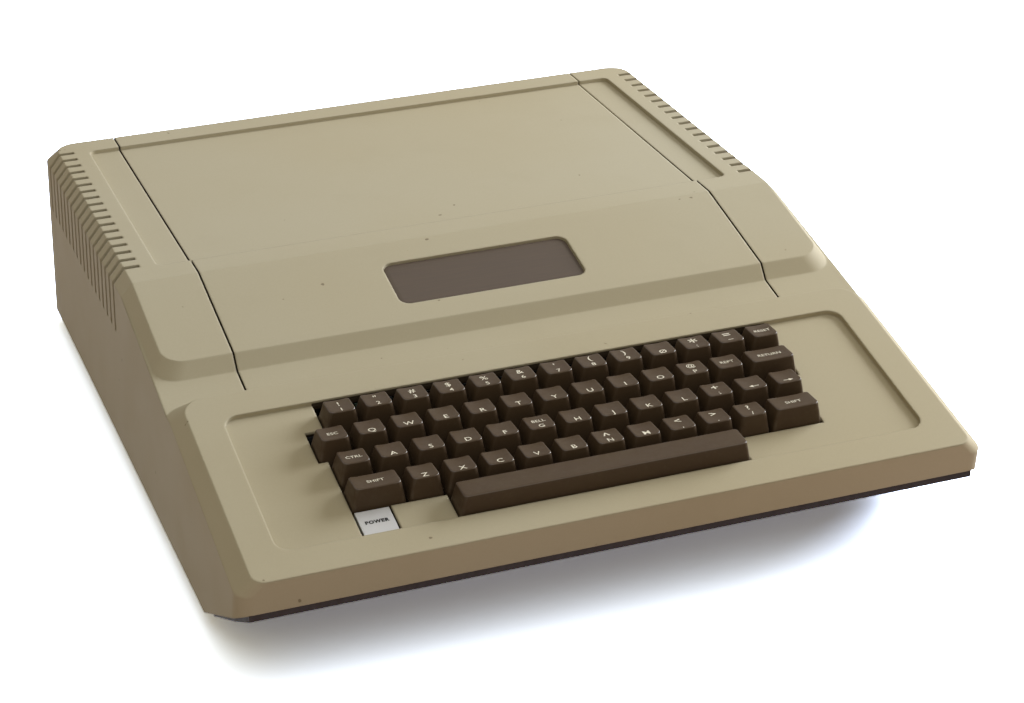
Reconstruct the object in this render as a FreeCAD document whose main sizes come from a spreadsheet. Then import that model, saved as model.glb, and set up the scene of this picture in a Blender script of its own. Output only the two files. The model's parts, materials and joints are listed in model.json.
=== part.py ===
"""A vintage home computer of the wedge type with its keyboard built in.

Frame: X to the right, Y to the back, Z up, in millimetres. The origin is the
middle of the footprint, on the surface that the rubber feet stand on.
The moulded case has a level deck at the back, a slope below it and a raised
keyboard field, the crown, at the front. The lid lifts off the middle of it.
"""

import FreeCAD
import Part
import Sketcher
import math
import os

Vector = FreeCAD.Vector

# Driving sizes. Lengths are in millimetres, angles in degrees.
SIZES = [
    # Case outline
    ("case_width", 388.7, "over the side walls, at the rim"),
    ("case_depth", 470.0, "from the front edge of the crown to the back wall"),
    ("deck_height", 115.25, "level deck above the table"),
    ("rim_height", 11.5, "bottom rim of the case above the table"),
    ("side_draft", 3.7, "how far each side wall leans in from rim to waist"),
    ("case_wall", 2.8, "thickness of the moulding"),
    ("case_corner", 13.0, "radius of the upright corners at the back"),
    ("case_front_corner", 8.0, "radius of the upright corners in front"),
    ("field_corner", 12.0, "corner radius of the raised fields, in plan"),
    ("front_corner", 7.0, "radius of the crown's front corners, in plan"),
    ("deck_share", 0.48426, "of the case depth, from the back wall to the bend"),
    ("deck_rise", 7.45, "deck above the waist line of the side wall"),
    ("bevel_run", 6.4, "width of the bevel round the deck, in plan"),
    ("slope_angle", 12.95, "of the slope under the deck"),
    ("valley_width", 19.64, "from the foot of the step to the foot of the crown"),
    ("step_run", 7.6, "of the step at the foot of the slope"),
    ("step_drop", 6.16, "of the step at the foot of the slope"),
    ("crown_angle", 12.16, "of the keyboard field"),
    ("crown_length", 140.6, "of the crown, up its slope"),
    ("crown_rise", 8.5, "crown above the band round it"),
    ("crown_bevel", 7.0, "width of the bevel round the crown"),
    ("crown_side_margin", 9.75, "from the side of the case to the crown's field"),
    ("draft_share", 0.4, "of the draft that the crown's side bevels leave out"),
    ("front_drop", 18.3, "height of the front face"),
    ("front_undercut", 3.94, "how far the front face leans in"),
    ("chin_length", 68.0, "of the underside that rises to the front, in plan"),
    # Deck recess, nameplate recess
    ("recess_side_margin", 27.65, "from the side of the case to the deck recess"),
    ("recess_back_margin", 24.0, "from the back wall to the deck recess"),
    ("recess_front_margin", 17.85, "from the bend to the deck recess"),
    ("recess_depth", 2.2, "of the deck recess"),
    ("recess_corner", 4.0, "corner radius of the deck recess"),
    ("plate_recess_width", 105.5, "of the recess for the nameplate"),
    ("plate_recess_share", 0.5186, "of the slope that this recess takes"),
    ("plate_place_share", 0.5387, "of the rest of the slope, above the recess"),
    ("plate_recess_depth", 1.8, "of the recess for the nameplate"),
    ("plate_recess_corner", 6.0, "corner radius of that recess"),
    # Vents
    ("vent_count", 18, "slots on each side"),
    ("vent_width", 3.5, "of one slot"),
    ("vent_back_margin", 23.2, "from the back wall to the first slot"),
    ("vent_front_margin", 21.14, "from the last slot to the bend"),
    ("vent_reach", 18.55, "of the slots in from the side of the case"),
    ("vent_drop", 35.55, "of the slots down from the deck"),
    # Lid
    ("lid_side_margin", 46.15, "from the side of the case to the seam"),
    ("lid_gap", 0.8, "all round the lid"),
    ("lid_lip_drop", 15.25, "of the lip at the back of the lid"),
    ("lid_foot_margin", 0.8, "from the foot of the crown to the lid"),
    ("ledge_width", 8.0, "of the ledge under the edges of the lid"),
    ("ledge_thickness", 2.0, "of that ledge"),
    ("rest_gap", 0.3, "between pieces that rest on each other"),
    ("rib_thickness", 2.0, "of the ribs under the lid"),
    ("rib_depth", 7.0, "of the ribs under the lid"),
    # Keyboard field
    ("key_recess_side_margin", 26.45, "from the side of the case to this recess"),
    ("key_recess_from_front", 18.55, "from the front edge of the crown"),
    ("key_recess_length", 103.9, "up the slope"),
    ("key_recess_depth", 2.5, "of the recess round the keys"),
    ("key_recess_corner", 8.0, "corner radius of the recess round the keys"),
    ("key_pitch", 19.05, "from key to key along a row"),
    ("row_pitch", 19.8, "from row to row"),
    ("grid_offset", 2.1, "middle of the key grid right of the middle"),
    ("front_row_depth", 17.9, "opening for the space bar"),
    ("row_setback", 0.6, "of the rows of keys in their places"),
    ("opening_setback", 1.9, "of the opening's front edges behind these places"),
    ("back_row_margin", 4.6, "behind the back row"),
    # Keys
    ("cap_side_gap", 0.7, "from a keycap to the edge of its place"),
    ("cap_length", 16.8, "of a keycap at its skirt, front to back"),
    ("cap_skirt", 8.0, "bottom of the skirt under the crown"),
    ("cap_height", 9.2, "front edge of the key top over the crown"),
    ("cap_side_taper", 2.1, "how far the top is narrower, each side"),
    ("cap_front_taper", 2.3, "how far the front of the cap leans back"),
    ("cap_back_taper", 0.8, "how far the back of the cap leans forward"),
    ("cap_top_tilt", 13.0, "key tops lean back, so that they lie level"),
    ("cap_dish", 0.55, "depth of the hollow in the key tops"),
    ("cap_wall", 1.3, "thickness of a keycap"),
    ("cap_roof", 2.4, "thickness of a key top"),
    ("cap_corner", 1.4, "cut off the keycap's upright corners"),
    ("stem_side", 5.6, "of the square key stem"),
    ("stem_depth", 17.4, "bottom of the stem under the crown"),
    ("key_travel", 3.8, "of every key"),
    ("bar_front_gap", 0.5, "from the opening's edge to the space bar"),
    ("bar_length", 16.8, "of the space bar, front to back"),
    ("bar_back_taper", 0.2, "how far the back of the bar leans forward"),
    ("bar_top_tilt", 8.7, "the top of the bar leans back"),
    ("bar_guide_offset", 50.0, "guide stems of the bar from its middle"),
    # Switch frame
    ("frame_depth", 14.2, "top of the switch plate under the crown"),
    ("frame_thickness", 1.6, "of the switch plate"),
    ("frame_side_margin", 28.17, "of the switch plate beyond the outermost keys"),
    ("frame_margin", 4.0, "of the switch plate beyond the opening"),
    ("housing_side", 13.8, "of a switch housing"),
    ("housing_bottom", 24.0, "of a switch housing under the crown"),
    ("stem_clearance", 0.35, "each side of the stem in its housing"),
    ("encoder_thickness", 1.6, "of the circuit board under the switches"),
    ("boss_radius", 4.0, "of the bosses that carry the switch plate"),
    ("boss_inset", 8.5, "of the bosses in from the ends of the switch plate"),
    ("boss_margin", 14.0, "of the bosses from the ends of the recess"),
    # Power lamp
    ("lamp_width", 17.1, "of the lamp's cap"),
    ("lamp_length", 19.2, "of the lamp's cap"),
    ("lamp_slot_width", 19.5, "of the slot that shows the lamp"),
    ("lamp_cap_depth", 6.0, "height of the lamp's cap"),
    ("lamp_base_inset", 2.5, "of the lamp's holder inside its cap"),
    # Base plate and feet
    ("plate_thickness", 3.0, "of the base plate, over its folded edge"),
    ("plate_inset", 4.85, "of the base plate inside the side walls"),
    ("plate_back_inset", 4.0, "of the base plate inside the back wall"),
    ("plate_corner", 2.5, "cut off the base plate's front edge at each end"),
    ("plate_corner_length", 20.0, "cut off the base plate's sides at the front"),
    ("foot_radius", 10.0, "of a rubber foot"),
    ("foot_side_margin", 29.5, "of the feet from the side of the base plate"),
    ("foot_back_margin", 40.0, "of the back feet from the back wall"),
    ("foot_front_margin", 26.0, "of the front feet from the chin"),
    # Main board
    ("board_gap", 21.85, "from the power supply to the main board"),
    ("board_right_margin", 44.35, "from the side of the case to the main board"),
    ("board_front_margin", 39.04, "from the chin to the main board"),
    ("board_thickness", 1.6, "of the main board"),
    ("board_back_margin", 9.0, "from the back wall to the main board"),
    ("post_height", 6.5, "of the posts under the main board"),
    ("post_radius", 3.0, "of the posts under the main board"),
    ("socket_count", 8, "expansion sockets"),
    ("socket_end_margin", 40.9, "from the last socket to the edge of the board"),
    ("socket_length", 70.0, "of an expansion socket"),
    ("socket_width", 9.0, "of an expansion socket"),
    ("socket_height", 14.5, "of an expansion socket"),
    ("socket_slit", 1.8, "of the slit in an expansion socket"),
    ("chip_share", 0.8333, "of their pitch that the small chips take"),
    ("chip_width", 7.6, "of a small chip"),
    ("chip_height", 4.5, "of a chip in its socket"),
    ("large_chip_share", 0.2407, "of the board's width that the processor takes"),
    ("large_chip_width", 14.5, "of the processor"),
    ("jack_radius", 4.2, "of a jack's barrel"),
    ("jack_length", 7.0, "of a jack's barrel behind its block"),
    ("jack_bore", 1.6, "radius of the hole in a jack's barrel"),
    ("jack_block", 13.0, "of the block that carries a jack"),
    ("jack_pitch", 17.0, "from jack to jack"),
    ("chip_row_pitch", 15.0, "from row to row of the small chips"),
    ("chip_margin", 24.0, "from the left edge of the board to the first chip"),
    ("speaker_radius", 28.0, "of the loudspeaker"),
    ("speaker_height", 17.0, "of the loudspeaker"),
    ("speaker_basket", 9.0, "height of its basket"),
    ("speaker_magnet_radius", 14.0, "of its magnet"),
    ("speaker_side_margin", 33.5, "from the side of the base plate"),
    # Power supply and switch
    ("supply_width", 94.0, "of the power supply"),
    ("supply_overhang", 24.4, "of the power supply beyond the length of the deck"),
    ("supply_height", 63.0, "of the power supply"),
    ("supply_side_gap", 6.0, "from the side wall to the power supply"),
    ("supply_back_gap", 2.2, "from the back wall to the power supply"),
    ("supply_edge", 3.0, "rounding of the power supply's edges"),
    ("inlet_width", 27.5, "of the power inlet"),
    ("inlet_height", 20.0, "of the power inlet"),
    ("inlet_depth", 15.0, "of the power inlet"),
    ("inlet_from_side", 30.0, "middle of the inlet from the outer side"),
    ("inlet_level", 34.0, "middle of the inlet over the base plate"),
    ("pin_width", 2.2, "of the pins in the power inlet"),
    ("rocker_width", 13.0, "of the power switch's rocker"),
    ("rocker_height", 19.0, "of the power switch's rocker"),
    ("rocker_depth", 9.0, "of the power switch's rocker"),
    ("rocker_angle", 10.0, "of each face of the rocker"),
    ("rocker_gap", 0.8, "round the rocker"),
    ("rocker_from_side", 66.0, "middle of the rocker from the outer side"),
    # Back wall
    ("notch_count", 4, "openings for cables in the back wall"),
    ("notch_side_margin", 3.2, "from the last opening to the seam of the lid"),
    ("notch_width", 26.0, "of a cable opening"),
    ("notch_depth", 24.0, "of a cable opening"),
    ("notch_first", 0.0, "middle of the first cable opening"),
    ("window_margin", 4.0, "round what shows through the back wall"),
    # Working allowance of the cutting tools
    ("overrun", 20.0, "how far a cutting solid runs past what it cuts"),
    ("skin", 0.05, "how far the crown's tool runs past the front face"),
]

# Places that follow from the sizes, as formulas of the sheet.
PLACES = [
    ("back_y", "=case_depth / 2", "back wall"),
    ("half_width", "=case_width / 2", "from the middle to the side of the case"),
    ("deck_length", "=case_depth * deck_share", "from the back wall to the bend"),
    ("bend_y", "=back_y - deck_length", "bend between deck and slope"),
    ("waist_height", "=deck_height - deck_rise", "waist line at the back"),
    ("crown_front_height", "=waist_height + crown_rise / cos(crown_angle * 1 deg)"
     " - (bend_y + back_y) * tan(crown_angle * 1 deg)", "front edge of the crown"),
    ("crown_foot_y", "=(crown_length + crown_bevel) * cos(crown_angle * 1 deg)"
     " + crown_rise * sin(crown_angle * 1 deg) - back_y", "back foot of the crown"),
    ("slope_length", "=(bend_y - crown_foot_y - valley_width + step_drop"
     " * sin(slope_angle * 1 deg)) / cos(slope_angle * 1 deg) - step_run",
     "from the bend to the top of the step"),
    ("crown_half_width", "=half_width - crown_side_margin", "of the crown's field"),
    ("crown_side_run", "=crown_side_margin - draft_share * side_draft",
     "of the bevels at the crown's sides"),
    ("recess_half_width", "=half_width - recess_side_margin", "of the deck recess"),
    ("plate_recess_length", "=slope_length * plate_recess_share", "down the slope"),
    ("plate_recess_from_bend", "=(slope_length - plate_recess_length) * plate_place_share",
     "from the bend to the nameplate recess"),
    ("vent_pitch", "=(deck_length - vent_back_margin - vent_front_margin) / (vent_count - 1)",
     "from slot to slot"),
    ("vent_inner_end", "=half_width - vent_reach", "inner end of the slots"),
    ("vent_low_end", "=deck_height - vent_drop", "lower end of the slots"),
    ("lid_half_width", "=half_width - lid_side_margin", "from the middle to the seam"),
    ("lid_lip_height", "=deck_height - lid_lip_drop", "bottom of the lid's lip"),
    ("key_recess_half_width", "=half_width - key_recess_side_margin",
     "of the recess round the keys"),
    ("frame_half_width", "=6.5 * key_pitch + frame_side_margin", "of the switch plate"),
    ("boss_offset", "=frame_half_width - boss_inset", "of the bosses from the middle"),
    ("chin_front_y", "=front_undercut - back_y", "front end of the underside"),
    ("chin_front_height", "=crown_front_height - front_drop", "of the same end"),
    ("chin_rise", "=chin_front_height - rim_height", "of the underside in front"),
    ("chin_back_y", "=chin_front_y + chin_length", "where the underside turns level"),
    ("chin_secant", "=sqrt(1 + (chin_rise / chin_length) ^ 2)", "of the chin's angle"),
    ("plate_low", "=rim_height - plate_thickness", "underside of the base plate"),
    ("plate_half_width", "=half_width - plate_inset", "of the base plate"),
    ("plate_back_y", "=back_y - plate_back_inset", "back edge of the base plate"),
    ("foot_offset", "=plate_half_width - foot_side_margin", "of the feet from the middle"),
    ("speaker_x", "=speaker_radius + speaker_side_margin - plate_half_width",
     "middle of the loudspeaker"),
    ("supply_left_x", "=supply_side_gap + case_wall + side_draft - half_width",
     "outer side of the power supply"),
    ("supply_length", "=deck_length + supply_overhang", "of the power supply"),
    ("supply_back_y", "=back_y - case_wall - supply_back_gap", "its back face"),
    ("inlet_x", "=supply_left_x + inlet_from_side", "middle of the power inlet"),
    ("inlet_z", "=rim_height + inlet_level", "middle of the power inlet"),
    ("rocker_x", "=supply_left_x + rocker_from_side", "middle of the rocker"),
    ("rocker_pivot_y", "=supply_back_y - rocker_depth / 3", "axis of the rocker"),
    ("rocker_face_y", "=supply_back_y + rocker_gap", "middle of the rocker's face"),
    ("rocker_rise", "=rocker_height / 2 * tan(rocker_angle * 1 deg)",
     "how far the ends of its face stand out"),
    ("board_low", "=rim_height + post_height", "underside of the main board"),
    ("board_top", "=board_low + board_thickness", "top of the main board"),
    ("board_back_y", "=back_y - board_back_margin", "back edge of the main board"),
    ("board_left_x", "=supply_left_x + supply_width + board_gap", "left edge of the main board"),
    ("board_width", "=half_width - board_right_margin - board_left_x", "of the main board"),
    ("board_length", "=board_back_y - chin_back_y - board_front_margin", "of the main board"),
    ("socket_pitch", "=(board_width - chip_margin - socket_width - socket_end_margin)"
     " / (socket_count - 1)", "from socket to socket"),
    ("chip_pitch", "=(board_width - 2 * chip_margin) / (socket_count - 1)",
     "from chip to chip in a row"),
    ("chip_length", "=chip_pitch * chip_share", "of a small chip"),
    ("large_chip_length", "=board_width * large_chip_share", "of the processor"),
    ("notch_pitch", "=(lid_half_width - notch_width / 2 - notch_side_margin)"
     " / (notch_count - 1)", "from opening to opening"),
]

doc = FreeCAD.newDocument("home_computer")
sheet = doc.addObject("Spreadsheet::Sheet", "sizes")
for line, (alias, value, note) in enumerate(SIZES + PLACES, 1):
    sheet.set("A%d" % line, alias)
    sheet.set("B%d" % line, str(value))
    sheet.set("C%d" % line, note)
    sheet.setAlias("B%d" % line, alias)
doc.recompute()


def size(alias):
    """Value of one cell of the size sheet."""
    return float(sheet.get(alias))


def count(alias):
    """Whole number in one cell of the size sheet."""
    return int(round(size(alias)))


# Lines of the side view that several pieces follow
back_y = size("back_y")
front_y = -back_y
waist_height = size("waist_height")
bend_y = size("bend_y")
crown_tangent = math.tan(math.radians(size("crown_angle")))
crown_cosine = math.cos(math.radians(size("crown_angle")))
waist_drop = size("crown_rise") / crown_cosine
chin_back_y = size("chin_back_y")
chin_slope = size("chin_rise") / size("chin_length")
lid_front = size("crown_foot_y") + size("lid_foot_margin")


def crown_height(y):
    """Height of the crown's surface, carried on to any depth."""
    return size("crown_front_height") + (y - front_y) * crown_tangent


def level_frame(height):
    """Frame of a level plane."""
    return FreeCAD.Placement(Vector(0, 0, height), FreeCAD.Rotation())


def tilted_frame(y, height, angle):
    """Frame of a plane that rises to the back, with its normal up."""
    return FreeCAD.Placement(Vector(0, y, height),
                             FreeCAD.Rotation(Vector(1, 0, 0), angle))


slope_frame = tilted_frame(bend_y, size("deck_height"), size("slope_angle"))
crown_frame = tilted_frame(front_y, size("crown_front_height"),
                           size("crown_angle"))
# The key frame starts at the front edge of the keys' opening.
key_frame = crown_frame.multiply(
    FreeCAD.Placement(Vector(0, size("key_recess_from_front"), 0),
                      FreeCAD.Rotation()))


def rounded_outline(frame, half_width, near, far, near_radius, far_radius):
    """Lines and corner arcs of a rectangle with round corners, in a frame."""
    quarter_turn = math.pi / 2
    corners = [(-half_width, near, near_radius), (half_width, near, near_radius),
               (half_width, far, far_radius), (-half_width, far, far_radius)]
    arcs = []
    for index, (x, y, radius) in enumerate(corners):
        centre = Vector(x - math.copysign(radius, x),
                        y + (radius if y == near else -radius), 0)
        angles = [(2 + index + part / 2) * quarter_turn for part in range(3)]
        arcs.append([frame.multVec(centre + Vector(radius * math.cos(angle),
                                                   radius * math.sin(angle), 0))
                     for angle in angles])
    edges = []
    for index, points in enumerate(arcs):
        edges.append(Part.Arc(*points).toShape())
        edges.append(Part.makeLine(points[-1], arcs[(index + 1) % len(arcs)][0]))
    return edges


def cut_outline(height, half_width, near, far, cut):
    """Corners of a rectangle with cut corners, in a level plane."""
    spots = [(near, half_width - cut), (near + cut, half_width), (far - cut, half_width),
             (far, half_width - cut)]
    corners = [Vector(x, y, height) for y, x in spots]
    return corners + [Vector(-x, y, height) for y, x in reversed(spots)]


def plain_outline(height, half_width, near, far):
    """Corners of a rectangle in a level plane."""
    return [Vector(half_width, near, height), Vector(half_width, far, height),
            Vector(-half_width, far, height), Vector(-half_width, near, height)]


def faceted_solid(lower, upper):
    """Solid with flat sides between two outlines whose edges are parallel."""
    rings = [lower, list(reversed(upper))]
    for index in range(len(lower)):
        after = (index + 1) % len(lower)
        rings.append([lower[index], lower[after], upper[after], upper[index]])
    faces = [Part.Face(Part.makePolygon(ring + ring[:1])) for ring in rings]
    return Part.Solid(Part.Shell(faces))


def ruled_solid(lower, upper):
    """Solid between two outlines; its straight sides are flat."""
    faces = [Part.Face(Part.Wire(edges)) for edges in (lower, upper)]
    for low, high in zip(lower, upper):
        if isinstance(low.Curve, Part.Line):
            spots = [low.firstVertex(), low.lastVertex(), high.lastVertex(), high.firstVertex()]
            ring = [spot.Point for spot in spots]
            faces.append(Part.Face(Part.makePolygon(ring + ring[:1])))
        else:
            faces.append(Part.makeRuledSurface(low, high))
    return Part.Solid(Part.Shell(faces))


def side_prism(points, half_width):
    """Solid that has one side view and runs from left to right."""
    corners = [Vector(-half_width, y, z) for y, z in points]
    face = Part.Face(Part.makePolygon(corners + corners[:1]))
    return face.extrude(Vector(2 * half_width, 0, 0))


def framed_box(frame, x, y, z, length, width, height):
    """Box given by its lowest corner and sizes, in a frame."""
    box = Part.makeBox(length, width, height, Vector(x, y, z))
    box.Placement = frame.multiply(box.Placement)
    return box


def wall_envelope(inset, low, high):
    """The four upright walls, which lean with draft, as one solid."""
    lean = size("front_undercut") / size("front_drop")
    outlines = []
    for height in (low, high):
        draft = size("side_draft") * ((waist_height - height) / (waist_height - size("rim_height")))
        half_width = size("case_width") / 2 - size("side_draft") + draft - inset
        near = front_y + (size("crown_front_height") - height) * lean + inset
        near_radius = max(size("case_front_corner") - inset, size("case_wall") / 2)
        outlines.append(rounded_outline(level_frame(height), half_width, near,
                                        back_y - inset, near_radius,
                                        size("case_corner") - inset))
    return ruled_solid(*outlines)


def raised_field(frame, drop, half_width, run, near, near_run, far, far_run, corner, inset):
    """Raised field with bevelled sides, a little deeper than its bevel."""
    extra_share = 0.3
    reach = 1 + extra_share
    slant = math.hypot(drop, run)
    side_inset = inset * (slant - run) / drop
    top = frame.multiply(level_frame(-inset))
    bottom = frame.multiply(level_frame(-inset - reach * drop))
    radius = size("field_corner") - side_inset
    low_radius = size("case_corner") - side_inset
    near_radius = corner - side_inset
    return ruled_solid(
        rounded_outline(bottom, half_width + reach * run - side_inset,
                        near - reach * near_run + side_inset,
                        far + reach * far_run - side_inset,
                        near_radius + low_radius - radius, low_radius),
        rounded_outline(top, half_width - side_inset, near + side_inset,
                        far - side_inset, near_radius, radius))


def half_space(frame, keep_back):
    """Large block on one side of a frame's upright plane."""
    reach = size("case_depth")
    start = 0 if keep_back else -reach
    return framed_box(frame, -reach, start, -reach, 2 * reach, reach, 2 * reach)


def waist_line(y, inset):
    """Height of the band under the raised fields, at its sloping part."""
    return crown_height(y) - waist_drop - inset / crown_cosine


def case_body(inset, is_cavity):
    """Outer form of the case, or the room inside it, which is open below."""
    overrun = size("overrun")
    field_half = size("case_width") / 2 - size("side_draft") - size("bevel_run")
    deck = raised_field(level_frame(size("deck_height")), size("deck_rise"), field_half,
                        size("bevel_run"), bend_y - overrun, 0, back_y - size("bevel_run"),
                        size("bevel_run"), size("field_corner"), inset)
    step_run = size("step_run") * size("deck_rise") / size("step_drop")
    slope = raised_field(slope_frame, size("deck_rise"), field_half, size("bevel_run"),
                         -size("slope_length"), step_run, overrun, 0,
                         size("field_corner"), inset)
    mitre = tilted_frame(bend_y, size("deck_height"), size("slope_angle") / 2)
    deck = deck.common(half_space(mitre, True))
    slope = slope.common(half_space(mitre, False))
    face_lean = math.atan(size("front_undercut") / size("front_drop"))
    face_lean -= math.radians(size("crown_angle"))
    crown = raised_field(crown_frame, size("crown_rise"), size("crown_half_width"),
                         size("crown_side_run"), -size("skin"),
                         -size("crown_rise") * math.tan(face_lean), size("crown_length"),
                         size("crown_bevel"), size("front_corner"), inset)
    far = back_y + overrun
    if is_cavity:
        low = -overrun
        near = front_y - overrun
        profile = [(far, low), (far, waist_height - inset), (bend_y, waist_height - inset),
                   (near, waist_line(near, inset)), (near, low)]
    else:
        low = size("rim_height")
        tip = chin_back_y - (waist_line(chin_back_y, 0) - low) / (chin_slope + crown_tangent)
        profile = [(far, low), (far, waist_height), (bend_y, waist_height),
                   (tip, waist_line(tip, 0)), (chin_back_y, low)]
    band = side_prism(profile, size("case_width"))
    envelope = wall_envelope(inset, low - overrun, size("deck_height") + overrun)
    return envelope.common(band.multiFuse([deck, slope, crown]))


def field_prism(frame, half_width, near, far, radius, low, high):
    """Prism with rounded corners that stands on a frame's plane."""
    outline = rounded_outline(frame.multiply(level_frame(low)), half_width, near, far,
                              radius, radius)
    rise = frame.Rotation.multVec(Vector(0, 0, high - low))
    return Part.Face(Part.Wire(outline)).extrude(rise)


def recess_places():
    """Frame, half width, near and far end, radius and depth of each recess."""
    plate_far = -size("plate_recess_from_bend")
    return {
        "deck": (level_frame(size("deck_height")), size("recess_half_width"),
                 bend_y + size("recess_front_margin"), back_y - size("recess_back_margin"),
                 size("recess_corner"), size("recess_depth")),
        "nameplate": (slope_frame, size("plate_recess_width") / 2,
                      plate_far - size("plate_recess_length"), plate_far,
                      size("plate_recess_corner"), size("plate_recess_depth")),
        "keys": (key_frame, size("key_recess_half_width"), 0, size("key_recess_length"),
                 size("key_recess_corner"), size("key_recess_depth")),
    }


def recess_tools():
    """Solids that cut the shallow recesses into the outer form."""
    return [field_prism(frame, half, near, far, radius, -depth, size("overrun"))
            for frame, half, near, far, radius, depth in recess_places().values()]


def recess_pads():
    """Solids that keep the wall at its thickness below the recesses."""
    wall = size("case_wall")
    return [field_prism(frame, half + wall, near - wall, far + wall, radius + wall,
                        -depth - wall, 0)
            for frame, half, near, far, radius, depth in recess_places().values()]


def key_x(place):
    """Distance from the middle of a place in a row, counted in key widths."""
    middle_place = 6
    return size("grid_offset") + (place - middle_place) * size("key_pitch")


def row_s(row):
    """Distance of a row's middle up the slope; row 0 holds the space bar."""
    return size("front_row_depth") + size("row_setback") + (row - 0.5) * size("row_pitch")


# Rows of keys from the front: name and width of each key, and its place.
# Widths and places are counted in key widths, from the key with the digit 1.
ROWS = {
    1: (-0.25, ["shift_left:1.5", "z", "x", "c", "v", "b", "n", "m", "comma", "period",
                "slash", "shift_right:1.5"]),
    2: (-0.25, ["ctrl", "a", "s", "d", "f", "g", "h", "j", "k", "l", "semicolon",
                "arrow_left", "arrow_right"]),
    3: (-0.5, ["esc", "q", "w", "e", "r", "t", "y", "u", "i", "o", "p", "rept",
               "return:1.5"]),
    4: (0, ["1", "2", "3", "4", "5", "6", "7", "8", "9", "0", "colon", "minus",
            "reset"]),
}
BAR_WIDTH = 8
BAR_PLACE = 5.75


def key_table():
    """Name, place, row and width of every key but the space bar."""
    keys = []
    for row, (first, names) in ROWS.items():
        edge = first - 0.5
        for entry in names:
            name, _, width = entry.partition(":")
            width = float(width or 1)
            keys.append(("key_" + name, edge + width / 2, row, width))
            edge += width
    return keys


def key_opening():
    """Opening of the crown in which the keys stand."""
    front = 0
    shift_front = size("front_row_depth") + size("opening_setback")
    letters_back = shift_front + 2 * size("row_pitch")
    margin = size("back_row_margin")
    escape_back = shift_front + 3 * size("row_pitch") + margin
    back = shift_front + 4 * size("row_pitch") + margin
    left = key_x(-0.75)
    lamp_right = left + size("lamp_slot_width")
    bar_left = key_x(BAR_PLACE - BAR_WIDTH / 2)
    bar_right = key_x(BAR_PLACE + BAR_WIDTH / 2)
    corners = [(left, front), (lamp_right, front), (lamp_right, shift_front),
               (bar_left, shift_front), (bar_left, front), (bar_right, front),
               (bar_right, shift_front), (key_x(12.25), shift_front),
               (key_x(12.25), letters_back), (key_x(12.5), letters_back),
               (key_x(12.5), back), (key_x(-0.5), back), (key_x(-0.5), escape_back),
               (key_x(-1), escape_back), (key_x(-1), letters_back), (left, letters_back)]
    depth = size("frame_depth")
    points = [Vector(x, s, -depth) for x, s in corners]
    tool = Part.Face(Part.makePolygon(points + points[:1])).extrude(
        Vector(0, 0, depth + size("overrun")))
    tool.Placement = key_frame
    return tool


def vent_slots():
    """Slots that run over the bevel from the deck down each side."""
    width = size("vent_width")
    inner = size("vent_inner_end")
    low = size("vent_low_end")
    outer = size("case_width") / 2 + size("overrun")
    rise = size("deck_height") + size("overrun") - low
    slots = []
    for side in (-1, 1):
        for index in range(count("vent_count")):
            y = back_y - size("vent_back_margin") - index * size("vent_pitch")
            left = inner if side > 0 else -outer
            slots.append(Part.makeBox(outer - inner, width, rise, Vector(left, y - width / 2, low)))
    return slots


def back_openings():
    """Openings of the back wall for cables, jacks and the power supply."""
    wall = size("case_wall")
    margin = size("window_margin")
    y = back_y - wall - size("bevel_run")
    reach = wall + size("bevel_run") + size("overrun")
    low = size("lid_lip_height") - size("notch_depth")
    tools = []
    for index in range(count("notch_count")):
        x = size("notch_first") + index * size("notch_pitch") - size("notch_width") / 2
        tools.append(Part.makeBox(size("notch_width"), reach, size("notch_depth") + size("overrun"),
                                  Vector(x, y, low)))
    jacks_left = jack_x(0) - size("jack_block") / 2 - margin
    jacks_right = jack_x(2) + size("jack_block") / 2 + margin
    tools.append(Part.makeBox(jacks_right - jacks_left, reach, size("jack_block") + margin,
                              Vector(jacks_left, y, size("board_top"))))
    left = size("inlet_x") - size("inlet_width") / 2 - margin
    right = size("rocker_x") + size("rocker_width") / 2 + margin
    height = size("inlet_height") + 2 * margin
    tools.append(Part.makeBox(right - left, reach, height,
                              Vector(left, y, size("inlet_z") - height / 2)))
    return tools


def jack_x(index):
    """Middle of one of the three jacks on the main board."""
    right = size("board_left_x") + size("board_width") - size("jack_pitch")
    return right - (2 - index) * size("jack_pitch")


def lid_region(half_width, front, lip):
    """Block that holds the lid and nothing else of the moulding."""
    far = back_y + size("overrun")
    inner = back_y - size("bevel_run") - size("case_wall")
    top = size("deck_height") + size("overrun")
    low = size("rim_height")
    return side_prism([(front, low), (inner, low), (inner, lip), (far, lip), (far, top),
                       (front, top)], half_width)


def edge_bars(inner, outer):
    """Upright walls on both sides that hold the lid's ledges."""
    reach = size("case_depth")
    return [Part.makeBox(outer - inner, reach, size("deck_height"),
                         Vector(inner if side > 0 else -outer, lid_front, 0))
            for side in (-1, 1)]


def solid_feature(name, shape):
    """Object of the document that carries one finished piece."""
    feature = doc.addObject("Part::Feature", name)
    feature.Shape = shape
    feature.Label = name
    return feature


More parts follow.
